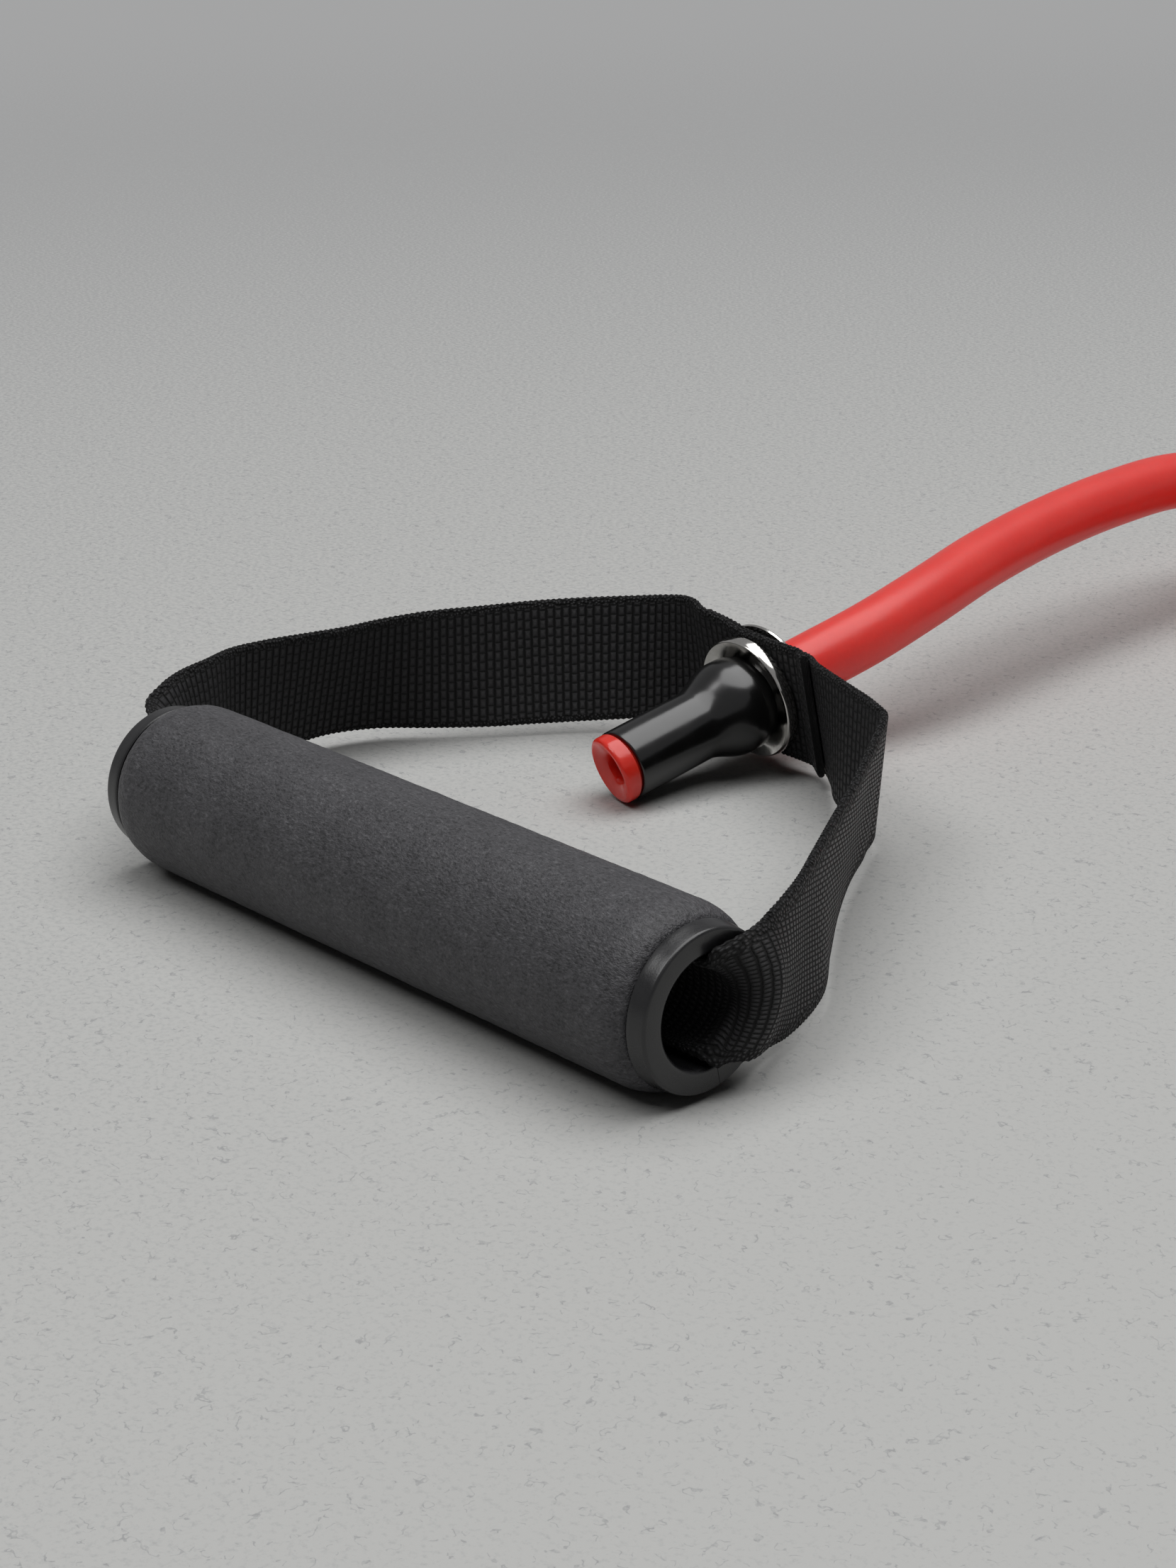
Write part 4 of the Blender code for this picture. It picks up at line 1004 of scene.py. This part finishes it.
def tie_place(turned_by, across, depth):
    """A point of the tie: how far round, across its width from -1 to 1, and how far out."""
    angle = turned_by - TIE_OVERLAP / 2
    lapped = ease((turned_by - 2 * pi + TIE_OVERLAP) / TIE_OVERLAP)
    reach = TUBE_RADIUS + TIE_CLEARANCE + TIE_HALF + (2 * TIE_HALF + FIT) * lapped + depth
    way = Vector((cos(angle), 0.0, sin(angle)))
    middle = tie_high if sin(angle) > 0 else tie_low
    return Vector((tie_x, COIL_MIDDLE.y + across * TIE_WIDTH / 2, middle)) + way * reach


tie_mesh = bmesh.new()
bmesh.ops.create_grid(tie_mesh, x_segments=TIE_AROUND, y_segments=TIE_STEPS, size=1.0)
uv = tie_mesh.loops.layers.uv.new("UVMap")
tie_spots = {}
for vert in tie_mesh.verts:
    j = round((vert.co.x + 1) / 2 * TIE_AROUND)
    turned_by = (2 * pi + TIE_OVERLAP) * (vert.co.y + 1) / 2
    section_angle = 2 * pi * j / TIE_AROUND
    across = max(min(1.25 * cos(section_angle), 0.97), -0.97)
    depth = TIE_HALF * max(min(1.6 * sin(section_angle), 1.0), -1.0)
    if abs(cos(section_angle)) > 0.95:
        across = cos(section_angle)
    tie_spots[vert] = (turned_by * 10, j * 1.3, tie_place(turned_by, across, depth))
for face in tie_mesh.faces:
    for loop in face.loops:
        loop[uv].uv = tie_spots[loop.vert][:2]
for vert, (_, _, spot) in tie_spots.items():
    vert.co = spot
bmesh.ops.remove_doubles(tie_mesh, verts=tie_mesh.verts, dist=1e-7)
bmesh.ops.holes_fill(tie_mesh, edges=[e for e in tie_mesh.edges if e.is_boundary], sides=0)
bmesh.ops.recalc_face_normals(tie_mesh, faces=tie_mesh.faces)
tie_cloth, tree, shader = new_finish("tie_cloth", (0.02, 0.02, 0.022), 0.8, specular=0.3)
where = add(tree, "TexCoord").outputs["UV"]
hooks = add(tree, "TexVoronoi", {"voronoi_dimensions": "2D"}, Vector=where, Scale=1.6, Randomness=0.9)
pile = hooks.outputs["Distance"]
# The colour is darker away from the hooks' tops, where the bump is low: painted shade between the hooks.
tree.links.new(tones(tree, pile, (0.0, 0.035), (0.6, 0.010)), shader.inputs["Base Color"])
raise_skin(tree, shader, calc(tree, "SUBTRACT", 1.0, pile), 0.0002)
mesh = bpy.data.meshes.new("coil_tie_piece")
tie_mesh.to_mesh(mesh)
tie_mesh.free()
mesh.shade_smooth()
mesh.set_sharp_from_angle(angle=radians(50.0))
mesh.materials.append(tie_cloth)
tie = bpy.data.objects.new("coil_tie_piece", mesh)
scene.collection.objects.link(tie)
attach(tie, "tube")
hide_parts("coil_tie")

# ---- Floor, light and background
# A pale paper floor under one large soft light overhead, a little behind the grip, and
# a weaker one from the left of the camera, with a faint even light from all round. Painted
# light falloff darkens the floor's colour with distance from a point on the floor 0.3 m
# along +X from the origin. None of it is part of the object.
FLOOR_SIZE = 8.0
FLOOR_LIGHT_POOL_MIDDLE = (0.30, 0.0, 0.0)
HAIR_HALF_WIDTH = 0.020
HAIR_PATCHES = 0.61
BACKDROP = (0.27, 0.27, 0.275, 1.0)
FILL_LEVEL = 0.03
floor_data = bpy.data.meshes.new("floor")
floor_bm = bmesh.new()
bmesh.ops.create_grid(floor_bm, x_segments=1, y_segments=1, size=FLOOR_SIZE)
floor_bm.to_mesh(floor_data)
floor_bm.free()
floor_paper, tree, shader = new_finish("floor_paper", (0.50, 0.50, 0.49), 0.9, specular=0.1)
where = add(tree, "TexCoord").outputs["Object"]
# Painted light falloff: the distance from the point set below darkens the floor's colour.
away = tree.nodes.new("ShaderNodeVectorMath")
away.operation = "DISTANCE"
tree.links.new(where, away.inputs[0])
away.inputs[1].default_value = FLOOR_LIGHT_POOL_MIDDLE
paper = grain(tree, where, 900.0, 4.0, 0.7)
hair = calc(tree, "ABSOLUTE", calc(tree, "SUBTRACT", grain(tree, where, 420.0, 1.5), 0.5))
patches = calc(tree, "GREATER_THAN", grain(tree, where, 430.0, 0.0), HAIR_PATCHES)
sparse = calc(tree, "MULTIPLY", calc(tree, "LESS_THAN", hair, HAIR_HALF_WIDTH), patches)
paper_marks_and_painted_falloff = calc(tree, "MULTIPLY_ADD", calc(tree, "SUBTRACT", paper, 0.5), 2.6, away.outputs["Value"])
paper_marks_and_painted_falloff = calc(tree, "MULTIPLY_ADD", sparse, 0.60, paper_marks_and_painted_falloff)
tree.links.new(
    tones(
        tree, calc(tree, "DIVIDE", paper_marks_and_painted_falloff, 2.0), (0.12, (0.485, 0.485, 0.474)), (0.27, (0.448, 0.450, 0.442)),
        (0.41, (0.400, 0.402, 0.399)), (0.56, (0.340, 0.341, 0.342)), (0.78, (0.375, 0.376, 0.378)),
    ),
    shader.inputs["Base Color"],
)
floor_data.materials.append(floor_paper)
floor = bpy.data.objects.new("floor", floor_data)
scene.collection.objects.link(floor)

for lamp_name, spread, level, way in (
    ("softbox", 60.0, 2.32, (-0.05, -0.23, -0.97)),
    ("side_panel", 28.0, 0.85, (0.22, 0.48, -0.84)),
):
    lamp_data = bpy.data.lights.new(lamp_name, "SUN")
    lamp_data.angle = radians(spread)
    lamp_data.energy = level
    lamp = bpy.data.objects.new(lamp_name, lamp_data)
    scene.collection.objects.link(lamp)
    lamp.rotation_euler = Vector(way).to_track_quat("-Z", "Y").to_euler()

world = bpy.data.worlds.new("studio")
scene.world = world
world.use_nodes = True
tree = world.node_tree
tree.nodes.clear()
rays = tree.nodes.new("ShaderNodeLightPath").outputs
reflected = calc(tree, "MAXIMUM", rays["Is Glossy Ray"], rays["Is Transmission Ray"])
seen = calc(tree, "MAXIMUM", rays["Is Camera Ray"], reflected)
pale = add(tree, "Background", Color=BACKDROP, Strength=1.0)
fill = add(tree, "Background", Color=(1.0, 1.0, 1.0, 1.0), Strength=FILL_LEVEL)
choose = tree.nodes.new("ShaderNodeMixShader")
tree.links.new(seen, choose.inputs[0])
tree.links.new(fill.outputs[0], choose.inputs[1])
tree.links.new(pale.outputs[0], choose.inputs[2])
tree.links.new(choose.outputs[0], tree.nodes.new("ShaderNodeOutputWorld").inputs[0])
scene.view_settings.view_transform = "Standard"
